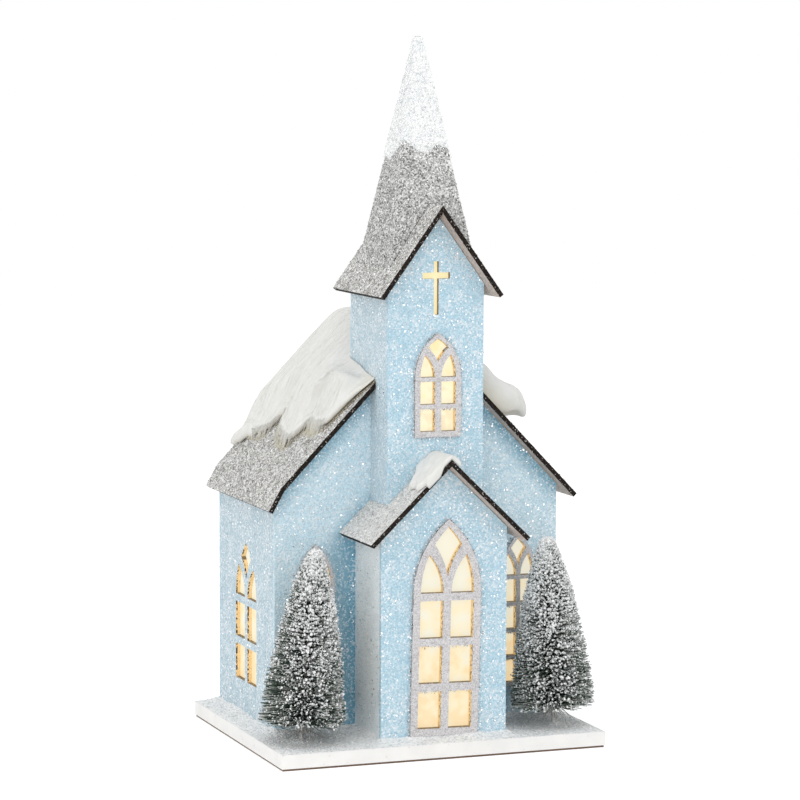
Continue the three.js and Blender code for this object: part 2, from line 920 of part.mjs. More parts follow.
// A layer of batting over a ridge. Its section has a flat crown and edges that swell out. The left
// edge may end in a thinner tip.
function snowSlab(roof, size, front, back) {
  const { left, right, thickness, crown, swell, tip } = size;
  const lifted = (x, height) => [x, roof.height(x, -seatGap - height)];
  const leftThickness = tip ? tip.thickness : thickness;
  const tipLine = tip ? [lifted(tip.length - tip.reach, thickness), lifted(-tip.reach, tip.thickness)] : [];
  const slab = outlineOf([
    lifted(-left, 0),
    lifted(0, 0),
    lifted(right, 0),
    [right + swell, lifted(right, thickness / 2)[1]],
    lifted(right, thickness),
    lifted(crown, thickness),
    lifted(-crown, thickness),
    ...tipLine,
    lifted(-left, leftThickness),
    [-left - (tip ? tip.swell : swell), lifted(-left, leftThickness / 2)[1]],
  ]);
  return boardAcross(slab, front, back - front);
}

function makeNaveSnow() {
  const back = naveDepth + naveBackEavesWidth - battingBackInset;
  const size = {
    left: battingLeft,
    right: battingRight,
    thickness: battingThickness,
    crown: battingCrown,
    swell: battingSwell,
    tip: {
      thickness: battingTipThickness,
      reach: battingTipReach,
      length: battingTipLength,
      swell: battingTipSwell,
    },
  };
  const slab = snowSlab(naveRoof, size, battingFront, back);
  const far = 2 * battingLeft;
  const plan = new THREE.Shape();
  plan.moveTo(-half.tower, battingFront);
  plan.lineTo(-battingLobe[0], battingLobe[1]);
  plan.lineTo(-battingTongue[0], battingTongue[1]);
  plan.quadraticCurveTo(-battingNotch[0], battingNotch[1], -battingHeel[0], battingHeel[1]);
  plan.lineTo(-far, back);
  plan.lineTo(far, back);
  plan.lineTo(far, battingRightTip[1]);
  plan.lineTo(...battingRightTip);
  plan.quadraticCurveTo(...battingRightBend, half.tower, battingFront);
  plan.closePath();
  const sheet = common(slab, boardFlat(plan, 0, 2 * naveRidge));
  part(building, "nave_roof_snow", cut(sheet, towerShaft(seatGap)), snow);
}

function makePorchSnow() {
  const front = porchFront - porchFrontEavesWidth + patchInset;
  const size = {
    left: patchLeft,
    right: patchRight,
    thickness: patchThickness,
    crown: patchCrown,
    swell: patchSwell,
  };
  const patch = snowSlab(porchRoof, size, front, towerFront - seatGap);
  const far = 2 * patchLeft;
  const plan = new THREE.Shape();
  plan.moveTo(far, front);
  plan.lineTo(far, towerFront);
  plan.lineTo(-patchTop, towerFront);
  plan.lineTo(-patchLeft, front + patchDepth);
  plan.lineTo(-far, front + patchDepth);
  plan.lineTo(-far, front);
  plan.closePath();
  part(building, "porch_roof_snow", common(patch, boardFlat(plan, 0, 2 * porchRidge)), snow);
}

// Battery box, in its own frame: x and y from its centre, z from the ground.
const batteries = new THREE.Group();
batteries.position.set(boxCentreX, boxCentreY, 0);
church.add(batteries);
const bayLeft = -boxLength / 2 + boxWall;
const bayRight = bayLeft + bayLength;
const cellZ = cellLift + cellRadius;
const hingeX = bayLeft + seatGap + doorThickness / 2;
const hingeZ = doorLift + doorThickness / 2;
const switchX = bayRight + boxWall + switchBay / 2;

function cellRow(i) {
  return (i - (cellCount - 1) / 2) * cellPitch;
}

// One arched cradle over a cell, open downwards. Neighbours run into each other below the arches.
function cradle(i) {
  const radius = cellRadius + seatGap;
  const outline = new THREE.Shape();
  outline.moveTo(cellRow(i) + radius, -boxRimLift);
  outline.lineTo(cellRow(i) + radius, cellZ);
  outline.absarc(cellRow(i), cellZ, radius, 0, Math.PI, false);
  outline.lineTo(cellRow(i) - radius, -boxRimLift);
  const points = pointsApart(outline);
  return boardAlong(new THREE.Shape(points), bayLeft, bayLength);
}

function makeBox() {
  const wide = boxWidth / 2;
  const tub = block(-boxLength / 2, boxLength / 2, -wide, wide, boxRimLift, boxTop);
  const ears = [];
  const earHoles = [];
  for (const side of [-1, 1]) {
    const y = earCentre(side) - boxCentreY;
    const inner = side * (wide - boxWall / 2);
    const outer = y + (side * earReach) / 2;
    const lift = baseTop + glueGap;
    ears.push(
      block(
        -earLength / 2,
        earLength / 2,
        Math.min(inner, outer),
        Math.max(inner, outer),
        lift,
        lift + earThickness,
      ),
    );
    const hole = upright(screwRadius + seatGap, lift - overcut, lift + earThickness + overcut, roundSides);
    hole.translate(0, y, 0);
    earHoles.push(hole);
  }
  const cradles = Array.from({ length: cellCount }, (_, i) => cradle(i));
  const slotDeep = contactThickness + 2 * glueGap;
  const contactSlots = [bayLeft, bayRight - slotDeep].map((x) =>
    block(
      x,
      x + slotDeep,
      cellRow(0) - contactHalf - seatGap,
      cellRow(cellCount - 1) + contactHalf + seatGap,
      0,
      cellZ + contactHalf + seatGap,
    ),
  );
  const pinHole = pinRadius + seatGap;
  const pins = new THREE.CylinderGeometry(pinHole, pinHole, bayWidth + 2 * pinLength, roundSides);
  pins.translate(hingeX, 0, hingeZ);
  const pocketHalf = switchWidth / 2 + seatGap;
  const pocket = block(
    switchX - switchBay / 2,
    switchX + switchBay / 2,
    -pocketHalf,
    pocketHalf,
    switchFloor,
    boxTop + overcut,
  );
  const slot = block(
    switchX - (sliderLength + switchTravel) / 2 - seatGap,
    switchX + (sliderLength + switchTravel) / 2 + seatGap,
    -sliderWidth / 2 - seatGap,
    sliderWidth / 2 + seatGap,
    0,
    switchFloor + overcut,
  );
  const scoop = block(
    switchX - scoopLength / 2,
    switchX + scoopLength / 2,
    -scoopWidth / 2,
    scoopWidth / 2,
    0,
    boxRimLift + scoopDepth,
  );
  const box = cut(join(tub, ...ears), ...cradles, ...contactSlots, pins, pocket, slot, scoop, ...earHoles);
  part(batteries, "battery_box", box, whitePlastic);
}

// The door: a plate with a rounded hinge edge, two moulded pins and a latch tongue.
function makeDoor() {
  const group = new THREE.Group();
  group.position.set(hingeX, 0, hingeZ);
  batteries.add(group);
  const wide = bayWidth / 2 - seatGap;
  const reach = bayRight - seatGap - hingeX;
  const thick = doorThickness / 2;
  const section = new THREE.Shape();
  section.moveTo(0, -thick);
  section.lineTo(reach, -thick);
  section.lineTo(reach, thick);
  section.lineTo(0, thick);
  section.absarc(0, 0, thick, Math.PI / 2, (3 * Math.PI) / 2, false);
  const plate = boardAcross(section, -wide, 2 * wide);
  const pins = new THREE.CylinderGeometry(pinRadius, pinRadius, 2 * (wide + pinLength), roundSides);
  const tongue = block(reach - tongueLength, reach, -tongueHalf, tongueHalf, 0, tongueHeight);
  const finger = upright(fingerRadius, -thick - overcut, fingerDepth - thick, 2 * roundSides);
  finger.translate(reach - fingerInset, 0, 0);
  part(group, "battery_door", cut(join(plate, pins, tongue), finger), whitePlastic);
}

// A coil spring of shrinking turns, as a path.
class ConeCoil extends THREE.Curve {
  getPoint(t, target = new THREE.Vector3()) {
    const angle = 2 * Math.PI * springTurns * t;
    const radius = springRoot + (springTip - springRoot) * t;
    const along = springWire + t * (springLength - 2 * springWire);
    return target.set(along, radius * Math.cos(angle), radius * Math.sin(angle));
  }
}

function coilSpring() {
  const section = new THREE.Shape();
  section.absarc(0, 0, springWire, 0, 2 * Math.PI, false);
  return new THREE.ExtrudeGeometry(section, {
    steps: springTurns * 8,
    curveSegments: 2.5,
    bevelEnabled: false,
    extrudePath: new ConeCoil(),
  });
}

// Cells lie head to tail, and plates at each end join them in series.
function makeCells() {
  const leftPlate = bayLeft + glueGap;
  const rightPlate = bayRight - glueGap - contactThickness;
  for (let i = 0; i < cellCount; i += 1) {
    const toRight = i % 2 === 0;
    const full = cellLength + cellNub;
    const cell = turned(
      [
        [0, 0],
        [cellRadius - cellChamfer, 0],
        [cellRadius, cellChamfer],
        [cellRadius, cellLength - cellChamfer],
        [cellRadius - cellChamfer, cellLength],
        [cellNubRadius, cellLength],
        [cellNubRadius, full],
        [0, full],
      ],
      20,
    );
    cell.rotateY(toRight ? Math.PI / 2 : -Math.PI / 2);
    const start = toRight ? rightPlate - glueGap - full : leftPlate + contactThickness + glueGap + full;
    cell.translate(start, cellRow(i), cellZ);
    part(batteries, `battery_${i + 1}`, cell, cellWrap);
  }
  contact("contact_negative", -1, [0]);
  contact("contact_link_left", -1, [1, 2]);
  contact("contact_link_right", 1, [0, 1]);
  contact("contact_positive", 1, [2]);

  function contact(name, side, rows) {
    const x = side < 0 ? leftPlate : rightPlate;
    const low = cellRow(rows[0]) - contactHalf;
    const high = cellRow(rows.at(-1)) + contactHalf;
    let plate = block(x, x + contactThickness, low, high, cellZ - contactHalf, cellZ + contactHalf);
    for (const row of rows) {
      const sprung = side < 0 ? row % 2 === 0 : row % 2 === 1;
      if (!sprung) continue;
      const spring = coilSpring();
      if (side > 0) spring.rotateZ(Math.PI);
      const face = side < 0 ? x + contactThickness - springWire : x + springWire;
      spring.translate(face, cellRow(row), cellZ);
      plate = join(plate, spring);
    }
    part(batteries, name, plate, plated);
  }
}

function makeSwitch() {
  const low = switchFloor + glueGap;
  const body = block(
    switchX - switchLength / 2,
    switchX + switchLength / 2,
    -switchWidth / 2,
    switchWidth / 2,
    low,
    low + switchHeight,
  );
  const reach = (sliderLength + switchTravel) / 2 + seatGap;
  const track = block(
    switchX - reach,
    switchX + reach,
    -sliderWidth / 2 - seatGap,
    sliderWidth / 2 + seatGap,
    low - overcut,
    low + switchHeight / 2,
  );
  part(batteries, "switch_body", cut(body, track), plated);
  const slider = block(
    -sliderLength / 2,
    sliderLength / 2,
    -sliderWidth / 2,
    sliderWidth / 2,
    boxRimLift + seatGap,
    low + switchHeight / 2 - seatGap,
  );
  slider.translate(switchX - switchTravel / 2, 0, 0);
  part(batteries, "switch_slider", slider, blackPlastic);
}

function makeScrews() {
  for (const [name, side] of [["front", -1], ["back", 1]]) {
    const head = baseTop + 2 * glueGap + earThickness;
    const screw = turned(
      [
        [0, baseTop - screwBite],
        [screwRadius, baseTop - screwBite + screwPoint],
        [screwRadius, head],
        [screwHeadRadius, head],
        [screwHeadTop, head + screwHeadHeight],
        [0, head + screwHeadHeight],
      ],
      12,
    );
    screw.translate(0, earCentre(side) - boxCentreY, 0);
    part(batteries, `box_screw_${name}`, screw, plated);
  }
}

// The lead and its three lamps, in the building's frame. The lead leaves the switch, crosses the
// box, follows the floor and walls through the light openings, and ends under the tower's window.
function makeLights() {
  const clear = leadRadius + 2 * seatGap;
  const overBox = boxTop - baseTop + clear;
  const overFloor = clear;
  const inside = wallThickness + clear;
  const shaftX = half.tower - wallThickness - clear;
  const shaftY = towerFront + wallThickness + clear;
  const sill = lightSill + clear + seatGap;
  const leadTop = towerWindow.sill - filmLap - lampHeight - lampDrop;
  const switchTop = switchFloor + switchHeight + 4 * glueGap - baseTop;
  const boxEdge = boxBack - boxWidth / 2 - clear - seatGap;
  const dropX = earLength / 2 + leadBend + clear;
  const route = [
    [switchX, boxBack, switchTop],
    [switchX, boxBack, overBox],
    [dropX, boxBack, overBox],
    [dropX, boxEdge, overBox],
    [dropX, boxEdge, overFloor],
    [dropX, inside, overFloor],
    [dropX, inside, sill],
    [dropX, -clear, sill],
    [shaftX, shaftY, sill],
    [shaftX, shaftY, leadTop],
  ].map(([x, y, z]) => new THREE.Vector3(x, y, z));
  part(building, "led_cable", leadAlong(route, leadRadius), wire);
  const overLead = leadRadius + seatGap;
  placeLamp("led_nave", (switchX + dropX) / 2, boxBack, overBox + overLead);
  placeLamp("led_porch", (dropX + shaftX) / 2, (shaftY - clear) / 2, sill + overLead);
  const cornerGap = lampFlange - clear + seatGap;
  placeLamp("led_tower", shaftX - cornerGap, shaftY + cornerGap, leadTop + seatGap);
}

// A lead along straight runs with rounded corners, as an extruded round section.
function leadAlong(points, radius) {
  const path = new THREE.CurvePath();
  let start = points[0];
  for (let i = 1; i < points.length - 1; i += 1) {
    const before = points[i].clone().sub(start).setLength(leadBend);
    const after = points[i + 1].clone().sub(points[i]).setLength(leadBend);
    const enter = points[i].clone().sub(before);
    const leave = points[i].clone().add(after);
    path.add(new THREE.LineCurve3(start, enter));
    path.add(new THREE.QuadraticBezierCurve3(enter, points[i], leave));
    start = leave;
  }
  path.add(new THREE.LineCurve3(start, points.at(-1)));
  const section = new THREE.Shape();
  section.absarc(0, 0, radius, 0, 2 * Math.PI, false);
  return new THREE.ExtrudeGeometry(section, {
    steps: leadSteps,
    curveSegments: 4,
    bevelEnabled: false,
    extrudePath: path,
  });
}

function placeLamp(name, x, y, z) {
  const profile = [
    [0, 0],
    [lampFlange, 0],
    [lampFlange, lampFlangeHeight],
    [lampRadius, lampFlangeHeight],
  ];
  for (let i = 0; i < domeSteps; i += 1) {
    const angle = (i / domeSteps) * (Math.PI / 2);
    const rise = lampHeight - lampRadius + lampRadius * Math.sin(angle);
    profile.push([lampRadius * Math.cos(angle), rise]);
  }
  profile.push([0, lampHeight]);
  const lamp = turned(profile, 12);
  lamp.translate(x, y, z);
  part(building, name, lamp, clearLamp);
}

makeBase();
makeNave();
makeTower();
makePorch();
makeSpire();
makeNaveSnow();
makePorchSnow();
makeTrees();
makeBox();
makeDoor();
makeCells();
makeSwitch();
makeScrews();
makeLights();

export default church;
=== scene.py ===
# A lit winter church for a table top. Walls and roofs are thin board under glitter, the panes are
# paper lit from behind, cotton batting lies on the roof, and two bottle-brush trees stand on a
# snowy base. Metres, +Z up, the door towards -Y.
import math

import bmesh
import bpy
import numpy as np
from mathutils import Matrix, Vector


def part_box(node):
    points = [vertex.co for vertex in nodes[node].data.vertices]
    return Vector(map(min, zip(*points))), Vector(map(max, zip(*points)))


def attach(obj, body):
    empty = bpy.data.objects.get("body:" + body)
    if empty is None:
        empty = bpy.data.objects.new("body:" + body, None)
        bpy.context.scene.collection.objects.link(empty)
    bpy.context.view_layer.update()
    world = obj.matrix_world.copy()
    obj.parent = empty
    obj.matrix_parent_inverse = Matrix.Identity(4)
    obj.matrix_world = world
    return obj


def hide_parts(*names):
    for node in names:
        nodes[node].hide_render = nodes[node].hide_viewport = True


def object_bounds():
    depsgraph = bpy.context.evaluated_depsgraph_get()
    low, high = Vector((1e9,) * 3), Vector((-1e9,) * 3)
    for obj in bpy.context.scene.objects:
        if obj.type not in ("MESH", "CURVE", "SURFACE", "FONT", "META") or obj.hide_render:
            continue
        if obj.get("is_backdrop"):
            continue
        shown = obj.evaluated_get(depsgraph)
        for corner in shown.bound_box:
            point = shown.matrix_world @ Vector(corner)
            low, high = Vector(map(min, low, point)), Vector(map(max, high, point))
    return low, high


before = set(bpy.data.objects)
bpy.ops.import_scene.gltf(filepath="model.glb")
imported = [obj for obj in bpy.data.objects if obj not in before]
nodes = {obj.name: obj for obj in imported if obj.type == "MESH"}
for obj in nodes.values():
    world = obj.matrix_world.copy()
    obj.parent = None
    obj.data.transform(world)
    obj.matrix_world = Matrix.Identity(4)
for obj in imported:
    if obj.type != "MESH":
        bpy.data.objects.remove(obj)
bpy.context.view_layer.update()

mm = 0.001


# Camera. It stands 1.8 m off, to the left of the door and level with the spire's foot, with a
# long lens that keeps the walls almost parallel, and it looks slightly down on the base.
camera_place = Vector((-624.2, -1663.7, 369.9)) * mm
camera_turn = -20.62
camera_tilt = 83.99
camera_roll = 0.23

camera_data = bpy.data.cameras.new("camera")
camera_data.lens = 148
camera = bpy.data.objects.new("camera", camera_data)
bpy.context.scene.collection.objects.link(camera)
camera.matrix_world = (
    Matrix.Translation(camera_place)
    @ Matrix.Rotation(math.radians(camera_turn), 4, "Z")
    @ Matrix.Rotation(math.radians(camera_tilt), 4, "X")
    @ Matrix.Rotation(math.radians(camera_roll), 4, "Z")
)
bpy.context.scene.camera = camera
bpy.context.scene.view_settings.view_transform = "Standard"


# Base. A white painted board on a thin raw brown backing, glued together. The paint is rubbed thin
# along the edges, and the backing is cut a little smaller.
base_low, base_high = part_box("base_board")
base_top = base_high.z
chip_brown = (0.12, 0.075, 0.05)
board_white = (0.86, 0.85, 0.83)


def arithmetic(operation):
    """An operator between a field and another field or a number, which adds a node."""
    return lambda a, b: a.finish.node("ShaderNodeMath", {0: a, 1: b}, operation=operation)


class Field:
    """A value that varies over a surface: a node's output, to be added, multiplied or compared."""

    def __init__(self, finish, socket):
        self.finish, self.socket = finish, socket

    __add__ = arithmetic("ADD")
    __sub__ = arithmetic("SUBTRACT")
    __mul__ = arithmetic("MULTIPLY")
    __truediv__ = arithmetic("DIVIDE")
    __gt__ = arithmetic("GREATER_THAN")
    __lt__ = arithmetic("LESS_THAN")
    __or__ = arithmetic("MAXIMUM")

    def __rsub__(self, number):
        return self.finish.node("ShaderNodeMath", {0: number, 1: self}, operation="SUBTRACT")

    def __abs__(self):
        return self.finish.node("ShaderNodeMath", {0: self}, operation="ABSOLUTE")

    def dot(self, way):
        return self.finish.vector("DOT_PRODUCT", {0: self, 1: way}, "Value")

    def part(self, axis):
        """Its x, y or z, or its red, green or blue."""
        return self.finish.node("ShaderNodeSeparateXYZ", {0: self}, axis)

    def other(self, output):
        """Another output of the same node."""
        return Field(self.finish, self.socket.node.outputs[output])

    def ramp(self, *stops, interpolation="LINEAR"):
        """A grey or colour for each value. Stops are (place, grey or colour)."""
        made = self.finish.node("ShaderNodeValToRGB", {"Fac": self})
        band = made.socket.node.color_ramp
        band.interpolation = interpolation
        while len(band.elements) < len(stops):
            band.elements.new(1.0)
        for element, (place, tone) in zip(band.elements, stops):
            element.position = place
            element.color = (*np.broadcast_to(tone, 3), 1)
        return made

    def mix(self, a, b):
        """Colour a where the value is 0, and colour b where it is 1."""
        ends = {k: tone if isinstance(tone, Field) else (*tone, 1) for k, tone in ((6, a), (7, b))}
        return self.finish.node("ShaderNodeMix", {0: self, **ends}, 2, data_type="RGBA")

    def bump(self, depth, **inputs):
        """The normal of a surface that stands a depth proud where the value is 1."""
        inputs = {"Height": self, "Distance": depth, "Strength": 1.0, **inputs}
        return self.finish.node("ShaderNodeBump", inputs)


class Finish:
    """A surface finish, or the world's light: one shader and the fields that feed it."""

    def __init__(self, name, world=None, **sockets):
        self.material = world or bpy.data.materials.new(name)
        self.material.use_nodes = True
        self.tree = self.material.node_tree
        self.shader = self.tree.nodes["Background" if world else "Principled BSDF"]
        self.place = self.node("ShaderNodeTexCoord", output="Object")
        self.facing = self.place.other("Normal")
        self.feed(**sockets)

    def node(self, kind, inputs=(), output=0, **settings):
        """An output of a new node. Inputs are plain values or fields."""
        made = self.tree.nodes.new(kind)
        for setting, value in settings.items():
            setattr(made, setting, value)
        for socket, value in dict(inputs).items():
            self.join(value, made.inputs[socket])
        return Field(self, made.outputs[output])

    def join(self, value, socket):
        if isinstance(value, Field):
            self.tree.links.new(value.socket, socket)
        else:
            socket.default_value = value

    def feed(self, **sockets):
        """Gives the shader plain values or fields."""
        for name, value in sockets.items():
            self.join(value, self.shader.inputs[name.replace("_", " ")])
        return self

    def vector(self, operation, inputs, output=0):
        return self.node("ShaderNodeVectorMath", inputs, output, operation=operation)

    def noise(self, size, detail=3.0, scale=(1, 1, 1)):
        """A cloudy pattern from 0 to 1 whose blotches are about a size across, divided by a scale."""
        where = self.place
        if scale != (1, 1, 1):
            where = self.node("ShaderNodeMapping", {"Vector": where, "Scale": scale})
        inputs = {"Vector": where, "Scale": 1 / size, "Detail": detail}
        return self.node("ShaderNodeTexNoise", inputs, "Fac")

    def grains(self, size):
        """Cells about a size across: (distance from the middle, three random shares for each)."""
        near = self.node("ShaderNodeTexVoronoi", {"Vector": self.place, "Scale": 1 / size}, "Distance")
        return near, near.other("Color")

    def own_share(self):
        """A random share for each loose part of the mesh."""
        return self.node("ShaderNodeNewGeometry", output="Random Per Island")


def dress(finish, *names):
    """Gives CAD nodes a finish."""
    for name in names:
        slots = nodes[name].data.materials
        slots.clear()
        slots.append(finish.material)


raw_board = Finish("raw_brown_board", Roughness=0.9)
fibre = raw_board.noise(0.9 * mm, 6, (1, 1, 4))
colour = fibre.ramp((0.35, 0), (0.7, 1)).mix(chip_brown, tuple(2.1 * c for c in chip_brown))
blotch = raw_board.noise(9 * mm).ramp((0.4, 0.0), (0.7, 0.35))
raw_board.feed(Base_Color=blotch.mix(colour, (0.07, 0.045, 0.03)), Normal=fibre.bump(0.15 * mm))
dress(raw_board, "bottom_board")

painted_board = Finish("white_painted_board", Roughness=0.55)
brushed = painted_board.noise(1.6 * mm, 5, (0.25, 0.25, 1.6))
colour = painted_board.noise(14 * mm).ramp((0.35, 0), (0.7, 1)).mix(board_white, (0.8, 0.795, 0.78))
worn = painted_board.noise(2.5 * mm, 6).ramp((0.66, 0), (0.72, 1)) * 0.35
painted_board.feed(Base_Color=worn.mix(colour, (0.55, 0.5, 0.45)), Normal=brushed.bump(0.08 * mm))
dress(painted_board, "base_board")


# Snow on the base. A coat of white flock and clear grit, scattered in glue over the painted board.
# It drifts up against the walls and round the trees, and thins out towards the edges.
drift_height = 2.6 * mm
drift_reach = 4.5 * mm
coat = 0.55 * mm
grid_step = 0.8 * mm
foot_drift = 1.5 * mm
foot_drift_reach = 3.5 * mm
stem_radius = 1.2 * mm
nave_low, nave_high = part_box("nave_front_wall")
nave_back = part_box("nave_back_wall")[1].y
porch_low, porch_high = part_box("porch_front_wall")
footprints = [
    (nave_low.x, nave_high.x, nave_low.y, nave_back),
    (porch_low.x, porch_high.x, porch_low.y, nave_low.y),
]
tree_feet = []
for side in ("left", "right"):
    low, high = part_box(f"tree_{side}_stem")
    foot_x = low.x + stem_radius if side == "left" else high.x - stem_radius
    tree_feet.append((foot_x, (low.y + high.y) / 2))
draw = np.random.default_rng(12)


def ripple(u, v, seed, octaves=1):
    """Smooth random heights from -1 to 1 over two coordinates, one swell to a unit."""
    total = np.zeros(np.broadcast(u, v).shape)
    for octave in range(octaves):
        lattice = np.random.default_rng(seed + octave).uniform(-1, 1, (64, 64))
        a, b = u * 2**octave + 31.7 * octave, v * 2**octave + 17.3 * octave
        i, j = np.floor(a).astype(int), np.floor(b).astype(int)
        s, t = a - i, b - j
        s, t = s * s * (3 - 2 * s), t * t * (3 - 2 * t)
        near = lattice[i % 64, j % 64] * (1 - t) + lattice[i % 64, (j + 1) % 64] * t
        far = lattice[(i + 1) % 64, j % 64] * (1 - t) + lattice[(i + 1) % 64, (j + 1) % 64] * t
        total += (near * (1 - s) + far * s) / 2**octave
    return total / (2 - 0.5 ** (octaves - 1))


def piece(name, points, faces, finish, slot, body="church", smooth=False):
    """A mesh from arrays of corners, each a row of point numbers, that rides on a body."""
    mesh = bpy.data.meshes.new(name)
    faces = [np.asarray(group) for group in faces if len(group)]
    corners = np.concatenate([group.ravel() for group in faces])
    counts = np.concatenate([np.full(len(group), group.shape[1]) for group in faces])
    mesh.vertices.add(len(points))
    mesh.vertices.foreach_set("co", np.asarray(points, np.float32).ravel())
    mesh.loops.add(len(corners))
    mesh.loops.foreach_set("vertex_index", corners.astype(np.int32))
    mesh.polygons.add(len(counts))
    mesh.polygons.foreach_set("loop_start", (np.cumsum(counts) - counts).astype(np.int32))
    mesh.polygons.foreach_set("use_smooth", np.full(len(counts), smooth))
    mesh.materials.append(finish.material)
    mesh.update()
    mesh.validate()
    made = bpy.data.objects.new(name, mesh)
    bpy.context.scene.collection.objects.link(made)
    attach(made, body)
    return made


def layer(name, over, under, keep, finish, slot, **more):
    """A closed layer between two grids of points, rows by columns, where keep says so for a cell."""
    rows, columns = over.shape[:2]
    index = np.arange(rows * columns).reshape(rows, columns)
    cells = np.stack([index[:-1, :-1], index[:-1, 1:], index[1:, 1:], index[1:, :-1]], -1)[keep]
    edges = np.concatenate([cells[:, [k, (k + 1) % 4]] for k in range(4)])
    known = {tuple(edge) for edge in edges.tolist()}
    rim = np.array([edge for edge in edges.tolist() if (edge[1], edge[0]) not in known])
    count = rows * columns
    wall = np.stack([rim[:, 1], rim[:, 0], rim[:, 0] + count, rim[:, 1] + count], -1)
    faces = np.concatenate([cells, cells[:, ::-1] + count, wall])
    used, faces = np.unique(faces, return_inverse=True)
    points = np.concatenate([over.reshape(-1, 3), under.reshape(-1, 3)])[used]
    return piece(name, points, [faces.reshape(-1, 4)], finish, slot, **more)


def spread(low, high, step):
    """Places from low to high, about a step apart."""
    return np.linspace(low, high, max(2, round((high - low) / step)) + 1)


def stepped(*stops):
    """Places from the first stop to the last, that meet each stop, about a grid step apart."""
    parts = [spread(a, b, grid_step)[:-1] for a, b in zip(stops, stops[1:])]
    return np.append(np.concatenate(parts), stops[-1])


def distance_to_walls(x, y):
    """How far a point on the base lies from the building, below 0 inside it."""
    found = np.full(np.shape(x), 1.0)
    for x0, x1, y0, y1 in footprints:
        across, along = np.maximum(x0 - x, x - x1), np.maximum(y0 - y, y - y1)
        outside = np.hypot(np.maximum(across, 0), np.maximum(along, 0))
        found = np.minimum(found, np.where(outside > 0, outside, np.maximum(across, along)))
    return found


def snow_height(x, y):
    """Height of the snow above the board."""
    away = np.maximum(distance_to_walls(x, y), 0)
    height = coat + drift_height * np.exp(-((away / drift_reach) ** 1.3))
    for foot_x, foot_y in tree_feet:
        height += foot_drift * np.exp(-(np.hypot(x - foot_x, y - foot_y) / foot_drift_reach) ** 2)
    height *= 1 + 0.35 * ripple(x / (7 * mm), y / (7 * mm), 5, 2)
    height += 0.32 * mm * ripple(x / (1.5 * mm), y / (1.5 * mm), 9, 2)
    edge = np.minimum(base_high.x - np.abs(x), base_high.y - np.abs(y))
    return np.maximum(height * np.clip(0.25 + edge / (5 * mm), 0.25, 1), 0.08 * mm)


def unit(vectors):
    """The vectors at length 1."""
    return vectors / np.maximum(np.linalg.norm(vectors, axis=-1, keepdims=True), 1e-12)


def chips(name, places, normals, size, finish, slot, lean=0.6, lift=0.16 * mm):
    """Flat four-cornered glitter chips, half sunk in the glue, each leaning its own way."""
    count = len(places)
    normals = np.asarray(normals, float)
    facing = unit(normals + lean * draw.normal(0, 1, (count, 3)) * 0.6)
    first = unit(np.cross(facing, draw.normal(0, 1, (count, 3))))
    second = np.cross(facing, first)
    wide = size * draw.uniform(0.6, 1.2, (count, 1))
    deep = wide * draw.uniform(0.6, 1, (count, 1))
    middle = places + normals * lift
    corners = [
        middle + wide * first * draw.uniform(0.7, 1, (count, 1)),
        middle + deep * second,
        middle - wide * first,
        middle - deep * second * draw.uniform(0.6, 1, (count, 1)),
    ]
    points = np.stack(corners, 1).reshape(-1, 3)
    return piece(name, points, [np.arange(4 * count).reshape(-1, 4)], finish, slot)


def glitter(name, *tones, metal=0.0, roughness=0.3, shine=0.6):
    """Glitter chips, each with one of the tones."""
    made = Finish(name, Metallic=metal, Roughness=roughness, Specular_IOR_Level=shine)
    stops = [(i / len(tones), tone) for i, tone in enumerate(tones)]
    return made.feed(Base_Color=made.own_share().ramp(*stops, interpolation="CONSTANT"))


snow_finish = Finish("flock_snow", Specular_IOR_Level=0.35)
grain_middle, grain = snow_finish.grains(0.95 * mm)
grain = grain.part(0)
colour = grain.ramp((0.0, (0.58, 0.61, 0.62)), (0.3, (0.83, 0.84, 0.84)), (1.0, (0.95, 0.95, 0.94)))
snow_finish.feed(
    Base_Color=snow_finish.noise(6 * mm).ramp((0.35, 0), (0.75, 0.3)).mix(colour, (0.72, 0.78, 0.82)),
    Roughness=grain.ramp((0.0, 0.35), (0.5, 0.85)),
    Normal=grain_middle.bump(-0.5 * mm),
)
snow_inset = 0.3 * mm
snow_x = stepped(
    base_low.x + snow_inset, nave_low.x, porch_low.x, porch_high.x, nave_high.x, base_high.x - snow_inset
)
snow_y = stepped(base_low.y + snow_inset, porch_low.y, nave_low.y, nave_back, base_high.y - snow_inset)
x, y = np.meshgrid(snow_x, snow_y)
jitter = np.where(distance_to_walls(x, y) > grid_step, 0.25 * grid_step, 0)
x, y = x + jitter * draw.uniform(-1, 1, x.shape), y + jitter * draw.uniform(-1, 1, x.shape)
x = np.clip(x, base_low.x + 0.05 * mm, base_high.x - 0.05 * mm)
y = np.clip(y, base_low.y + 0.05 * mm, base_high.y - 0.05 * mm)
over = np.stack([x, y, base_top + snow_height(x, y)], -1)
under = np.stack([x, y, np.full(x.shape, base_top + 0.02 * mm)], -1)
outside = distance_to_walls((x[:-1, :-1] + x[1:, 1:]) / 2, (y[:-1, :-1] + y[1:, 1:]) / 2) > 0
layer("base_snow", over, under, outside, snow_finish, "white_board")

grit_count = 9000
snow_tones = [0.95, (0.75, 0.78, 0.8), (0.97, 0.97, 0.96), (0.86, 0.88, 0.89), (0.55, 0.58, 0.61)]
snow_grit = glitter("snow_grit", *snow_tones)
x = draw.uniform(base_low.x + mm, base_high.x - mm, grit_count)
y = draw.uniform(base_low.y + mm, base_high.y - mm, grit_count)
places = np.stack([x, y, base_top + snow_height(x, y)], -1)[distance_to_walls(x, y) > 0.3 * mm]
chips("base_grit", places, (0, 0, 1), 0.5 * mm, snow_grit, "white_board", lean=0.8)


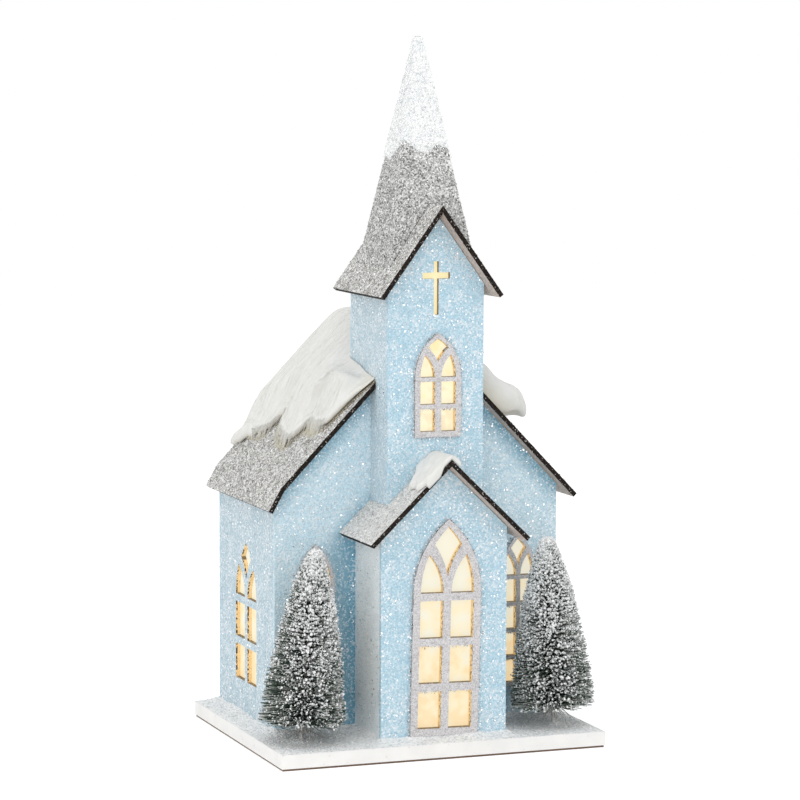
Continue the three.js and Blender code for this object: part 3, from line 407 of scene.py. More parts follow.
# Walls. Each is 2.5 mm board, painted light blue and covered with coarse clear glitter in glue.
# A hot beam cut the windows through it, which leaves their sides tan with burnt rims and specks.
wall_blue = (0.42, 0.615, 0.725)
side_blue = (0.47, 0.6, 0.67)
# Deep blue for the painted shade on the nave's front, beside the porch and under the roof.
shade_blue = (0.12, 0.34, 0.48)
# Painted light: the porch's left wall is greyer than the other walls and also paler, for the light the tree
# keeps off it, and the nave's front is paler for the light the tower and the roofs keep off it.
porch_side_lit_blue = (0.82, 0.88, 0.9)
set_back_lit_blue = (0.53, 0.71, 0.8)
burnt = (0.03, 0.016, 0.01)
lit_wood = (0.74, 0.56, 0.32)
wall_ways = {"front": (0, -1, 0), "back": (0, 1, 0), "left": (-1, 0, 0), "right": (1, 0, 0)}
wall_colours = {
    "nave_front_wall": set_back_lit_blue,
    "nave_left_wall": side_blue,
    "tower_left_wall": side_blue,
    "porch_left_wall": porch_side_lit_blue,
}
walls = {}
for building in ("nave", "tower", "porch"):
    for side, out in wall_ways.items():
        node = f"{building}_{side}_wall"
        if node in nodes:
            walls[node] = (out, wall_colours.get(node, wall_blue))


def cut_side(made, node, out):
    """(colour, painted glow) of a beam-cut side: a burnt rim that comes and goes, then tan with specks. The
    glow is painted light from the lamps inside, and is lost where the side is burnt.
    """
    face = max(Vector(out).dot(corner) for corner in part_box(node))
    depth_mm = (face - made.place.dot(out)) * (1 / mm)
    dashes = made.noise(1.5 * mm).ramp((0.47, 0), (0.55, 1))
    specks = made.noise(0.8 * mm, 4).ramp((0.58, 0), (0.66, 1))
    wood = (specks * 0.75).mix(made.noise(3 * mm).mix((0.58, 0.39, 0.19), lit_wood), (0.1, 0.05, 0.025))
    ledge = made.facing.part(2) > 0.7
    charred = dashes * depth_mm.ramp((0.8, 1), (0.95, 0)) | ledge * 0.8
    return charred.mix(wood, burnt), charred.mix((0.3, 0.21, 0.09), (0.0, 0.0, 0.0))


def painted_shade_places(made, node, from_middle, share):
    """Painted shade on the nave's front, laid on in deep blue: beside the porch below its eave, and right
    under the roof.
    """
    height = made.place.part(2)
    from_porch = from_middle - (porch_high.x - porch_low.x) / 2
    beside_porch = (from_porch / (24 * mm)).ramp((0.0, 0.95), (0.5, 0.6), (1.0, 0.0))
    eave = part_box("porch_left_wall")[1].z - from_porch * 0.9
    below_eave = ((height - eave) / (12 * mm)).ramp((0.0, 1), (1.0, 0))
    corners = beside_porch * below_eave * share.ramp((0.55, 1), (0.95, 0.3))
    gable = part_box(node)[1].z - from_middle * math.tan(math.radians(46))
    below_roof = ((gable - height) / (16 * mm)).ramp((0.1, 0.8), (1.0, 0.0))
    return corners | below_roof * share.ramp((0.5, 1), (0.9, 0.2))


def side_of(node, out):
    """(axis, middle, half the width) of a wall, seen from outside."""
    low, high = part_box(node)
    across = 0 if out[1] else 1
    return across, (low[across] + high[across]) / 2, (high[across] - low[across]) / 2


def glitter_board(node, out, colour):
    """Board under glitter on its outer face and its upright ends, and bare where it is cut."""
    made = Finish(f"{node}_glitter", Specular_IOR_Level=0.4, Emission_Strength=1.0)
    across, middle, half = side_of(node, out)
    from_middle = abs(made.place.part(across) - middle)
    outer = abs(made.facing.dot(out)) > 0.8
    flat = outer | (from_middle > half - 0.3 * mm)
    grain_middle, shares = made.grains(0.95 * mm)
    strewn = shares.part(0) + (made.noise(9 * mm, 6) - 0.5) * 1.3
    covered = strewn.ramp((0.3, 0), (0.75, 0.55), (0.95, 1))
    clear = shares.part(1).mix(tuple(0.25 + 0.68 * c for c in colour), (0.84, 0.9, 0.94))
    worked = made.noise(0.8 * mm, 5).ramp((0.35, 0), (0.65, 1))
    paint = worked.mix(tuple(0.82 * c for c in colour), tuple(min(1, 1.12 * c) for c in colour))
    face = covered.mix(paint, clear)
    # On the nave's front, painted shade: deep blue beside the porch and right under the roof.
    if node == "nave_front_wall":
        face = painted_shade_places(made, node, from_middle, shares.part(2)).mix(face, shade_blue)
    side, painted_glow = cut_side(made, node, out)
    if node == "tower_front_wall":
        # The narrow cross's cut sides are darker than the windows', with less painted glow.
        cross = (made.place.part(2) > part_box("tower_window_frame")[1].z) * 0.75
        side, painted_glow = cross.mix(side, (0.12, 0.06, 0.03)), cross.mix(painted_glow, (0.02, 0.01, 0.0))
    # Each grain leans its own way.
    tilt = made.vector("ADD", {0: shares, 1: (-0.5, -0.5, -0.5)})
    tilt = made.vector("SCALE", {0: tilt, "Scale": covered * 0.6})
    own = made.node("ShaderNodeNewGeometry", output="Normal")
    facing = made.vector("NORMALIZE", {0: made.vector("ADD", {0: own, 1: tilt})})
    # The cut sides give off the painted glow of the lamps inside.
    return made.feed(
        Base_Color=flat.mix(side, face),
        Emission_Color=flat.mix(painted_glow, (0.0, 0.0, 0.0)),
        Roughness=covered.mix((0.75,) * 3, (0.3,) * 3),
        Normal=grain_middle.bump(-0.3 * mm, Normal=facing),
    )


for node, (out, colour) in walls.items():
    dress(glitter_board(node, out, colour), node)


def strewn_over(node, density, wanted):
    """Random (places, normals), so many to a square millimetre, on those of a node's triangles whose
    normal and middle are wanted."""
    mesh = nodes[node].data
    mesh.calc_loop_triangles()
    order = np.empty(3 * len(mesh.loop_triangles), np.int32)
    mesh.loop_triangles.foreach_get("vertices", order)
    points = np.empty(3 * len(mesh.vertices), np.float32)
    mesh.vertices.foreach_get("co", points)
    found = points.reshape(-1, 3)[order].reshape(-1, 3, 3).astype(float)
    cross = np.cross(found[:, 1] - found[:, 0], found[:, 2] - found[:, 0])
    chosen = wanted(unit(cross), found.mean(1))
    found, cross = found[chosen], cross[chosen]
    double = np.linalg.norm(cross, axis=1)
    count = int(density * double.sum() / 2 / mm**2)
    pick = draw.choice(len(found), count, p=double / double.sum())
    a, b = draw.random((2, count, 1))
    fold = a + b > 1
    a, b = np.where(fold, 1 - a, a), np.where(fold, 1 - b, b)
    corner = found[pick]
    places = corner[:, 0] + a * (corner[:, 1] - corner[:, 0]) + b * (corner[:, 2] - corner[:, 0])
    return places, unit(cross)[pick]


def gathered(found):
    """Pairs of (places, normals) as one pair."""
    return [np.concatenate(part) for part in zip(*found)]


def on_show(node, places):
    """Whether places on a wall can be seen, and aren't shut in behind the tower or the porch."""
    x, y, z = places.T
    in_tower = (x > tower_low.x + mm) & (x < tower_high.x - mm) & (y > tower_low.y + mm) & (y < 0)
    in_porch = (x > porch_low.x) & (x < porch_high.x) & (y > porch_low.y + mm) & (y < nave_low.y + mm)
    in_porch &= (z < porch_low.z + 100 * mm) & (not node.startswith("porch"))
    return ~(in_tower | in_porch)


def glittered(density, patchiness):
    """(places, normals) of grit on the walls' outer faces and their upright ends, in drifts."""
    found = []
    for node, (out, _) in walls.items():
        across, wall_middle, half = side_of(node, out)

        def covered(normal, middle):
            end = abs(middle[:, across] - wall_middle) > half - 0.3 * mm
            return (normal @ np.array(out) > 0.9) | (end & (abs(normal[:, across]) > 0.9))

        places, normals = strewn_over(node, density, covered)
        beside = places[:, 0] + places[:, 1]
        drift = 0.5 + 0.5 * ripple(beside / (11 * mm), places[:, 2] / (11 * mm), 33, 2)
        shown = on_show(node, places) & (draw.random(len(places)) > patchiness * drift)
        found.append((places[shown], normals[shown]))
    return gathered(found)


tower_low, tower_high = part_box("tower_front_wall")
clear_tones = [(0.8, 0.89, 0.94), (0.66, 0.81, 0.9), (0.88, 0.93, 0.96), (0.55, 0.74, 0.86)]
clear_grit = glitter("clear_glitter", *clear_tones, (0.74, 0.84, 0.9))
chips("wall_glitter", *glittered(0.22, 0.75), 0.48 * mm, clear_grit, "blue_glitter_board")
bright_tones = [(0.97, 0.98, 0.99), 1.0, (0.93, 0.96, 0.99)]
bright_grit = glitter("bright_glitter", *bright_tones, metal=0.9, roughness=0.25)
sparkles = glittered(0.075, 0.5)
chips("wall_sparkles", *sparkles, 0.62 * mm, bright_grit, "blue_glitter_board", lean=0.45, lift=0.25 * mm)


# Window tracery. Thin board frames, silvered with fine glitter and glued proud of the walls. The
# beam that cut them left their edges brown, with burnt dashes round the outer rim.
frame_nodes = ["nave_window_frame_left", "nave_window_frame_right"]
frame_nodes += ["tower_window_frame", "porch_window_frame"]
rim_share = 0.55


def frame_heart(node):
    """(place, half the frame's width): the faces of its outer rim look away from the place."""
    low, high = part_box(node)
    half = (high.x - low.x) / 2
    return ((low.x + high.x) / 2, 0, high.z - 1.9 * half), half


def silver_tracery(node):
    made = Finish(f"{node}_silver", Roughness=0.5, Specular_IOR_Level=0.4, Emission_Strength=1.0)
    flat = abs(made.facing.part(1)) > 0.8
    grain_middle, shares = made.grains(0.5 * mm)
    strewn = shares.part(0) + (made.noise(6 * mm) - 0.5) * 0.5
    silver = strewn.ramp((0.0, (0.42, 0.4, 0.41)), (0.35, (0.56, 0.545, 0.55)), (1.0, (0.74, 0.725, 0.735)))
    heart, half = frame_heart(node)
    rim = made.vector("SUBTRACT", {0: made.place, 1: heart}).dot(made.facing) > rim_share * half
    dashes = made.noise(3.5 * mm, 4).ramp((0.6, 0), (0.66, 1))
    # The frame's inner cut sides give off the painted glow of the lamps inside, and its outer rim doesn't.
    side, painted_glow = cut_side(made, node, (0, -1, 0))
    side = rim.mix(side, dashes.mix((0.4, 0.392, 0.376), burnt))
    return made.feed(
        Base_Color=flat.mix(side, silver),
        Emission_Color=flat.mix(rim.mix(painted_glow, (0.0, 0.0, 0.0)), (0.0, 0.0, 0.0)),
        Normal=grain_middle.bump(-0.25 * mm),
    )


# Loose grit lies in the glue along each frame's outer rim and blurs it. Some of it is scorched.
found = []
for node in frame_nodes:
    dress(silver_tracery(node), node)
    heart, half = frame_heart(node)

    def outer_rim(normal, middle):
        away = ((middle - heart) * normal * (1, 0, 1)).sum(1)
        return (abs(normal[:, 1]) < 0.5) & (away > rim_share * half)

    places, normals = strewn_over(node, 2.2, outer_rim)
    found.append(places + normals * abs(draw.normal(0, 0.7, (len(places), 1))) * mm)
rim_grit = glitter(
    "rim_glitter",
    *((0.6, 0.62, 0.65), (0.75, 0.8, 0.84), (0.9, 0.92, 0.94), (0.42, 0.43, 0.45)),
    *((0.66, 0.7, 0.74), (0.1, 0.07, 0.05), (0.85, 0.89, 0.92)),
)
places = np.concatenate(found)
chips("rim_glitter", places, (0, -1, 0), 0.42 * mm, rim_grit, "silver_glitter_board", lean=0.9, lift=0)


# Panes. Cream paper, glued behind the openings and lit from behind: nearly white where a lamp is
# close, and more orange low down.
pale_light = (0.66, 0.66, 0.57)
cream_light = (0.72, 0.63, 0.43)
amber_light = (0.72, 0.55, 0.32)
yellow_light = (0.78, 0.68, 0.38)
bright_light = (0.8, 0.76, 0.56)
nave_panes = [f"nave_{wall}_film_{side}" for wall in ("side", "front") for side in ("left", "right")]
pane_lights = dict.fromkeys([*nave_panes, "porch_film"], (amber_light, cream_light, pale_light))
pane_lights["tower_film"] = (cream_light, bright_light, yellow_light)
for node, (foot, middle, head) in pane_lights.items():
    low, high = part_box(node)
    paper = Finish(f"{node}_paper", Roughness=0.8, Specular_IOR_Level=0.1, Emission_Strength=1.0)
    span = {"Value": paper.place.part(2), "From Min": low.z, "From Max": high.z}
    fibre = paper.noise(7 * mm, 5)
    wavy = paper.node("ShaderNodeMapRange", span) + (fibre - 0.5) * 1.8
    paper.feed(
        Base_Color=(0.3, 0.27, 0.2, 1),
        Emission_Color=wavy.ramp((0.0, foot), (0.3, middle), (0.75, head)),
        Normal=fibre.bump(0.1 * mm),
    )
    dress(paper, node)


# Roofs. Grey board under coarse silver glitter, with burnt front edges and a bare brown underside
# that shows as a thin line along the rake.
roof_pitch = {}
for building, pitch in (("nave", 46), ("tower", 54), ("porch", 43.8)):
    roof_pitch[f"{building}_roof_left"] = -pitch
    roof_pitch[f"{building}_roof_right"] = pitch


def upward(degrees):
    """The outward normal of a slope that falls by an angle, to the left where it is below 0."""
    return (math.sin(math.radians(degrees)), 0, math.cos(math.radians(degrees)))


for node, pitch in roof_pitch.items():
    silvered = Finish(f"{node}_silver", Roughness=0.6, Specular_IOR_Level=0.15)
    turned = silvered.facing.dot(upward(pitch))
    grain_middle, shares = silvered.grains(0.85 * mm)
    strewn = shares.part(0) + (silvered.noise(7 * mm, 4) - 0.5) * 0.6
    paler = 0.22 if "porch" in node else 0.0
    silver = strewn.ramp(
        (0.0, (0.17 + paler, 0.165 + paler, 0.155 + paler)),
        (0.3, (0.4 + paler, 0.395 + paler, 0.38 + paler)),
        (0.62, (0.6 + paler / 2, 0.595 + paler / 2, 0.575 + paler / 2)),
        (1.0, (0.88, 0.88, 0.87)),
    )
    scorch = silvered.noise(0.9 * mm, 5)
    charred = ((0.45, (0.006, 0.004, 0.003)), (0.64, (0.022, 0.014, 0.01)), (0.78, (0.25, 0.23, 0.21)))
    edge = scorch.ramp(*charred)
    bare = silvered.noise(2 * mm, 5).ramp((0.3, (0.5, 0.4, 0.34)), (0.7, (0.7, 0.6, 0.54)))
    colour = (turned > 0.8).mix((turned < -0.8).mix(edge, bare), silver)
    dress(silvered.feed(Base_Color=colour, Normal=grain_middle.bump(-0.5 * mm)), node)

silver_tones = [
    *[(0.8, 0.8, 0.79), (0.3, 0.295, 0.285), (0.93, 0.93, 0.93)],
    *[(0.55, 0.55, 0.54), (0.13, 0.125, 0.12), (0.7, 0.7, 0.69)],
]
pale_tones = [tuple(0.45 + 0.5 * c for c in tone) for tone in silver_tones]
silver_grit = glitter("silver_glitter", *silver_tones, metal=0.1, roughness=0.35)
pale_grit = glitter("pale_glitter", *pale_tones, roughness=0.35)


def grit_on(building, finish):
    """Silver grit over the top faces of a building's roof panels."""
    found = []
    for node, pitch in roof_pitch.items():
        if node.startswith(building):
            found.append(strewn_over(node, 0.6, lambda normal, _: normal @ np.array(upward(pitch)) > 0.9))
    name = f"{building}_roof_glitter"
    chips(name, *gathered(found), 0.5 * mm, finish, "silver_glitter_board", lean=0.9, lift=0.2 * mm)


grit_on("nave", silver_grit)
grit_on("tower", silver_grit)
grit_on("porch", pale_grit)

# Crumbs of glitter caught in the scorched rake edges, most of them blackened.
char_grit = glitter(
    "scorched_glitter",
    *[(0.012, 0.009, 0.008), (0.03, 0.02, 0.015), (0.008, 0.006, 0.005), (0.07, 0.04, 0.025)],
    *[(0.4, 0.37, 0.34), (0.015, 0.01, 0.007), (0.5, 0.47, 0.44)],
    roughness=0.7,
    shine=0.1,
)
found = [strewn_over(node, 0.7, lambda normal, _: abs(normal[:, 1]) > 0.9) for node in roof_pitch]
chips("rake_crumbs", *gathered(found), 0.42 * mm, char_grit, "silver_glitter_board", lean=1.0)


# Spire. A folded card pyramid set across the tower's roof, silvered like the roofs, with a snow
# tip of white flock and grit that ends in a ragged line.
spire_low, spire_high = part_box("spire")
tip_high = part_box("spire_snow")[1]
spire_x = (spire_low.x + spire_high.x) / 2
spire_y = (spire_low.y + spire_high.y) / 2
spire_foot_half = (spire_high.x - spire_low.x) / 2
spire_tip_half = 1.25 * mm


def spire_half(z):
    """Half the spire's width at a height."""
    share = (z - spire_low.z) / (spire_high.z - spire_low.z)
    return spire_foot_half + (spire_tip_half - spire_foot_half) * share


def steep(normal, _):
    return (normal[:, 2] > 0.05) & (normal[:, 2] < 0.5)


silver_card = Finish("silver_card", Roughness=0.5, Specular_IOR_Level=0.5)
grain_middle, shares = silver_card.grains(0.8 * mm)
strewn = shares.part(0) + (silver_card.noise(6 * mm, 4) - 0.5) * 0.7
card_tones = [(0.0, (0.13, 0.13, 0.125)), (0.3, (0.36, 0.36, 0.35)), (0.62, (0.56, 0.56, 0.55))]
silver = strewn.ramp(*card_tones, (1.0, (0.88, 0.88, 0.87)))
dress(silver_card.feed(Base_Color=silver, Normal=grain_middle.bump(-0.5 * mm)), "spire")
places, normals = strewn_over("spire", 0.85, steep)

# The white tip's lower edge: how high it is, for places round the spire counted in sides from the
# left front corner.
edge_round = np.array([0, 0.22, 0.5, 0.82, 1, 1.3, 1.6, 1.9, 2.2, 2.5, 2.8, 3.0, 3.3, 3.65, 4])
edge_height = np.array([
    325, 320.5, 317.2, 322.5, 320, 316, 321, 317, 322, 316, 320, 315, 314, 319.5, 325
]) * mm


def snow_line(around):
    """Height of the white tip's ragged edge."""
    frayed = ripple(around * 6, around * 0 + 8, 25, 2) * 1.5 * np.sin(np.pi * around / 4)
    return np.interp(around, edge_round, edge_height) + frayed * mm


aside, ahead = places[:, 0] - spire_x, places[:, 1] - spire_y
half = spire_half(places[:, 2])
round_spire = np.select(
    [-ahead >= abs(aside), aside >= abs(ahead), ahead >= abs(aside)],
    [0.5 + aside / half / 2, 1.5 + ahead / half / 2, 2.5 - aside / half / 2],
    3.5 - ahead / half / 2,
)
below_tip = places[:, 2] < snow_line(round_spire) + 0.5 * mm
shown = below_tip & (np.maximum(abs(aside), abs(ahead)) > half - 0.4 * mm)
spots = places[shown], normals[shown]
chips("spire_glitter", *spots, 0.5 * mm, silver_grit, "silver_glitter_board", lean=1.4, lift=0.25 * mm)

tip_columns = 160
tip_rows = 60
around = np.linspace(0, 4, tip_columns + 1)
corner_share = 2 * (around % 1) - 1
side_number = (around.astype(int) % 4)[None, :]
tip_edge = snow_line(around)[None, :]
z = tip_edge + (spire_high.z - 0.2 * mm - tip_edge) * np.linspace(0, 1, tip_rows)[:, None]


def on_spire(z, proud):
    """Places round the spire at a height, so far proud of the card."""
    half = spire_half(z) + proud
    across = half * corner_share[None, :]
    x = np.choose(side_number, [across, half, -across, -half])
    y = np.choose(side_number, [-half, across, half, -across])
    return np.stack([spire_x + x, spire_y + y, z], -1)


def closed(grid, narrowed, top):
    """Draws the last ring of a grid in, and closes it with a point above."""
    axis = (spire_x, spire_y)
    grid[-1, :, :2] = axis + narrowed * (grid[-1, :, :2] - axis)
    return np.concatenate([grid, np.full_like(grid[-1:], 0) + (*axis, top)])


rough = ripple(around[None, :] * 9, z / (2.2 * mm), 41, 2) * 0.35 * mm
over = on_spire(z, (0.7 * mm + rough) * np.clip((z - tip_edge) / (2 * mm), 0.15, 1))
over[-1, :, 2] = tip_high.z - 0.7 * mm
over = closed(over, 0.45, tip_high.z - 0.4 * mm)
under = closed(on_spire(z, 0.06 * mm), 0.02, spire_high.z + 0.05 * mm)
whole = np.full((tip_rows, tip_columns), True)
tip = layer("spire_tip_snow", over, under, whole, snow_finish, "white_flock")
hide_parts("spire_snow")

# The doubled points are joined, where the grids close on themselves.
near = 0.004 * mm
work = bmesh.new()
work.from_mesh(tip.data)
bmesh.ops.remove_doubles(work, verts=work.verts, dist=near)
bmesh.ops.dissolve_degenerate(work, dist=near, edges=work.edges)
bmesh.ops.recalc_face_normals(work, faces=work.faces)
work.to_mesh(tip.data)
work.free()

white_grit = glitter("white_grit", 0.95, (0.86, 0.87, 0.88), (0.97, 0.97, 0.96), (0.7, 0.72, 0.74))
places, normals = strewn_over("spire_snow", 0.7, steep)
aside, ahead = places[:, 0] - spire_x, places[:, 1] - spire_y
outside = np.maximum(abs(aside), abs(ahead)) > spire_half(places[:, 2]) + 0.3 * mm
chips("tip_grit", places[outside], normals[outside], 0.5 * mm, white_grit, "white_flock", lift=0)


# Roof snow. Cotton batting, pulled thin and combed down the slopes, glued over the nave's ridge
# behind the tower. Its lower edge hangs in soft tongues, and its right end curls off the roof.
roof_low, roof_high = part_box("nave_roof_right")
glue_gap = 0.1 * mm
ridge_x = roof_low.x - glue_gap
nave_pitch = math.radians(roof_pitch["nave_roof_right"])
nave_slope = math.tan(nave_pitch)
nave_lean = math.cos(nave_pitch)
ridge_z = roof_high.z + glue_gap * nave_slope
tower_gap = 0.4 * mm
tower_left_x = tower_low.x - tower_gap
tower_right_x = tower_high.x + tower_gap
tower_back_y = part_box("tower_back_wall")[1].y + tower_gap
batting_front = nave_low.y - 7 * mm
batting_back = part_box("nave_roof_snow")[1].y
batting_loft = 12 * mm
batting_crown = 13.2 * mm
end_curl = 11.5 * mm
end_curl_reach = 32 * mm
skirt_from = 78 * mm
skirt_to = 92 * mm
# How far the left edge reaches from the ridge, for places behind the nave's front face.
left_edge_at = np.array([
    -7, -5, -3, 0, 1.5, 3, 10, 16, 26, 29.5, 36, 45, 53, 60, 65, 68, 72, 80, 90, 101
]) * mm
left_edge_reach = np.array([
    28.5, 32, 35, 42, 49, 51.5, 53, 53.5, 53.5, 61, 63, 61.5, 60.5, 57, 53, 52.5, 61, 64, 67, 74
]) * mm
right_edge_at = np.array([-7, 0, 2, 9, 16, 30, 60, 101]) * mm
right_edge_reach = np.array([27.6, 28, 57, 66, 69.5, 68, 64, 64]) * mm
# Beside the tower it was pressed thin: its thickness there, for places behind the nave's face.
pressed_at = np.array([-7, 8, 16, 32]) * mm
pressed_loft = np.array([1.2, 3.4, 5.0, 7.0]) * mm


def smooth_step(value, low, high):
    share = np.clip((value - low) / (high - low), 0, 1)
    return share * share * (3 - 2 * share)


def edge_reach(side, y):
    """How far the batting reaches from the ridge line at y, on the left (-1) or right (1)."""
    behind = y - nave_low.y
    edge = (left_edge_at, left_edge_reach) if side < 0 else (right_edge_at, right_edge_reach)
    reach = np.interp(behind, *edge)
    frayed = ripple(y / (5 * mm), y * 0 + 2 + side, 61, 2) * 0.8
    frayed = frayed + ripple(y / (1.7 * mm), y * 0 + side, 67) * 0.7
    return reach + frayed * mm * smooth_step(behind, 0, 8 * mm)


def batting_section(side, out, y):
    """The batting's upper and lower height above the roof at a distance out from the ridge."""
    behind = y - nave_low.y
    reach = edge_reach(side, y)
    steepness = (edge_reach(side, y + mm) - edge_reach(side, y - mm)) / (2 * mm)
    down = (reach - out) / nave_lean / np.sqrt(1 + np.clip(steepness, -3, 3) ** 2)
    inward = np.minimum(down, np.minimum(y - batting_front, batting_back - y) + 0.3 * mm)
    inward = np.maximum(inward, 0)
    # How far up the slope from the tip of the right end, which reaches further than its front edge.
    from_tip = (np.interp(np.maximum(behind, 9 * mm), right_edge_at, right_edge_reach) - out) / nave_lean
    if side < 0:
        # The edge is thin, and at the back it runs out in a skirt with the full pad above it.
        skirt = smooth_step(behind, skirt_from, skirt_to)
        rising = smooth_step(down, 0, 21 * mm) * (1 - skirt) + smooth_step(down, 8 * mm, 20 * mm) * skirt
        edge_loft = (3.2 + 2.4 * skirt) * mm
        loft = edge_loft + (batting_loft - edge_loft) * rising
    else:
        loft = batting_loft * (0.68 + 0.41 * smooth_step(from_tip, 0, 28 * mm))
        lumps = ripple(out / (6 * mm), y / (7 * mm), 73, 2)
        loft = loft + lumps * mm * smooth_step(inward, 0, 6 * mm)
    along = out / (26 * mm)
    swell = ripple(y / (10 * mm) + 0.6 * along, along + 3 * side, 71, 2) * 0.9
    combed = ripple(y / (2.6 * mm) + 0.9 * along, along * 0.8 + side, 77, 2) * 0.13
    loft = loft + (swell + combed) * mm * smooth_step(inward, 0, 8 * mm)
    if side < 0:
        pressed = (1 - smooth_step(out, 28 * mm, 43 * mm)) * (1 - smooth_step(behind, 33 * mm, 41 * mm))
        loft = loft + (np.minimum(loft, np.interp(behind, pressed_at, pressed_loft)) - loft) * pressed
    bend = np.clip(inward / (0.55 * loft), 0, 1)
    full = np.sqrt(1 - (1 - bend) ** 2)
    lift = 0.9 * mm * (1 - smooth_step(down, 0, 6 * mm))
    if side > 0:
        # Its right end curls up and stands off the roof.
        lift = end_curl * (1 - smooth_step(from_tip, 0, end_curl_reach))
    middle = lift + loft / 2
    return middle + full * loft / 2, middle - full * loft / 2


def batting_height(x, y):
    """(upper, lower) height of the batting over a place in plan."""
    out = abs(x - ridge_x)
    roof = ridge_z - out * nave_slope
    left_over, left_under = batting_section(-1, out, y)
    right_over, right_under = batting_section(1, out, y)
    share = smooth_step(x - ridge_x, -6 * mm, 6 * mm)
    over = left_over + (right_over - left_over) * share
    under = left_under + (right_under - left_under) * share
    crown = ridge_z - batting_crown * nave_slope + batting_loft / nave_lean
    high = roof + over / nave_lean
    soft = 2.5 * mm
    high = crown - np.logaddexp(0, (crown - high) / soft) * soft
    high = high + ripple(y / (4 * mm), x / (30 * mm), 83, 2) * 0.4 * mm
    return high, roof + 0.35 * mm / nave_lean + np.maximum(under, 0) / nave_lean


batting_step = 0.75 * mm
front_y = spread(batting_front, tower_back_y, batting_step)[:-1]
front_rows = len(front_y)
batting_y = np.concatenate([front_y, spread(tower_back_y, batting_back, batting_step)])
outer = spread(0, 1, 1 / 70)
crown_columns = spread(0, 1, 1 / 52)
rows = []
for y in batting_y:
    # Columns crowd towards the edge, where the batting turns under.
    left_x = ridge_x - edge_reach(-1, np.array(y))
    right_x = ridge_x + edge_reach(1, np.array(y))
    left_span = left_x + (tower_left_x - left_x) * outer**1.5
    right_span = (right_x + (tower_right_x - right_x) * outer**1.5)[::-1]
    middle_span = tower_left_x + (tower_right_x - tower_left_x) * crown_columns
    rows.append(np.concatenate([left_span, middle_span[1:-1], right_span]))
x = np.array(rows)
y = np.repeat(batting_y[:, None], x.shape[1], 1)
high, low_side = batting_height(x, y)
low_side = np.minimum(low_side, high - 0.02 * mm)
over = np.stack([x, y, high], -1)
under = np.stack([x, y, low_side], -1)
keep = np.full((x.shape[0] - 1, x.shape[1] - 1), True)
keep[:front_rows, len(outer) - 1 : -(len(outer) - 1)] = False
keep[batting_y[1:] < nave_low.y + mm, len(outer) :] = False


cotton_finish = Finish("cotton_batting", Roughness=0.95, Specular_IOR_Level=0.15, Sheen_Weight=0.1)
combed = cotton_finish.noise(0.9 * mm, 6, (0.16, 1, 0.16))
white = combed.ramp((0.3, (0.68, 0.68, 0.655)), (0.62, (0.73, 0.73, 0.71)))
white = cotton_finish.noise(11 * mm, 4).ramp((0.4, 0), (0.8, 0.3)).mix(white, (0.65, 0.635, 0.585))
# Painted shade: low down near the roof the cotton is darker and yellow, and this reaches higher at the
# thick right end, whose underside stands off the roof.
place_x = cotton_finish.place.part(0)
roof = ridge_z - abs(place_x - ridge_x) * nave_slope
shade_reach = (place_x > tower_high.x) * (14 * mm) + 7 * mm
above = (cotton_finish.place.part(2) - roof) / shade_reach + 0.2
underside_shade = above.ramp((0.1, 0.0), (0.18, 0.75), (0.45, 0.35), (1.0, 0.0))
cotton_finish.feed(Base_Color=underside_shade.mix(white, (0.6, 0.55, 0.38)), Normal=combed.bump(0.12 * mm))
batting = layer("nave_batting", over, under, keep, cotton_finish, "snow_batting", smooth=True)
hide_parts("nave_roof_snow")


def strands(name, lines, thickness, finish, slot):
    """Three-sided tapered fibres along lines, an array of fibres by points by 3."""
    count, steps = lines.shape[:2]
    along = unit(np.gradient(lines, axis=1))
    aside = unit(np.cross(along, np.broadcast_to(draw.normal(0, 1, (count, 1, 3)), lines.shape)))
    beside = np.cross(along, aside)
    turns = [2 * math.pi * k / 3 for k in range(3)]
    radius = thickness[:, None]
    points = np.stack([lines + radius * (math.cos(a) * aside + math.sin(a) * beside) for a in turns], 2)
    index = np.arange(count * steps * 3).reshape(count, steps, 3)
    after = np.roll(index, -1, 2)
    walls = np.stack([index[:, :-1], after[:, :-1], after[:, 1:], index[:, 1:]], -1)
    walls = walls.transpose(0, 2, 1, 3).reshape(-1, 4)
    ends = np.concatenate([index[:, 0, ::-1], index[:, -1, :]])
    return piece(name, points.reshape(-1, 3), [walls, ends], finish, slot)


fibre_limit = 66 * mm


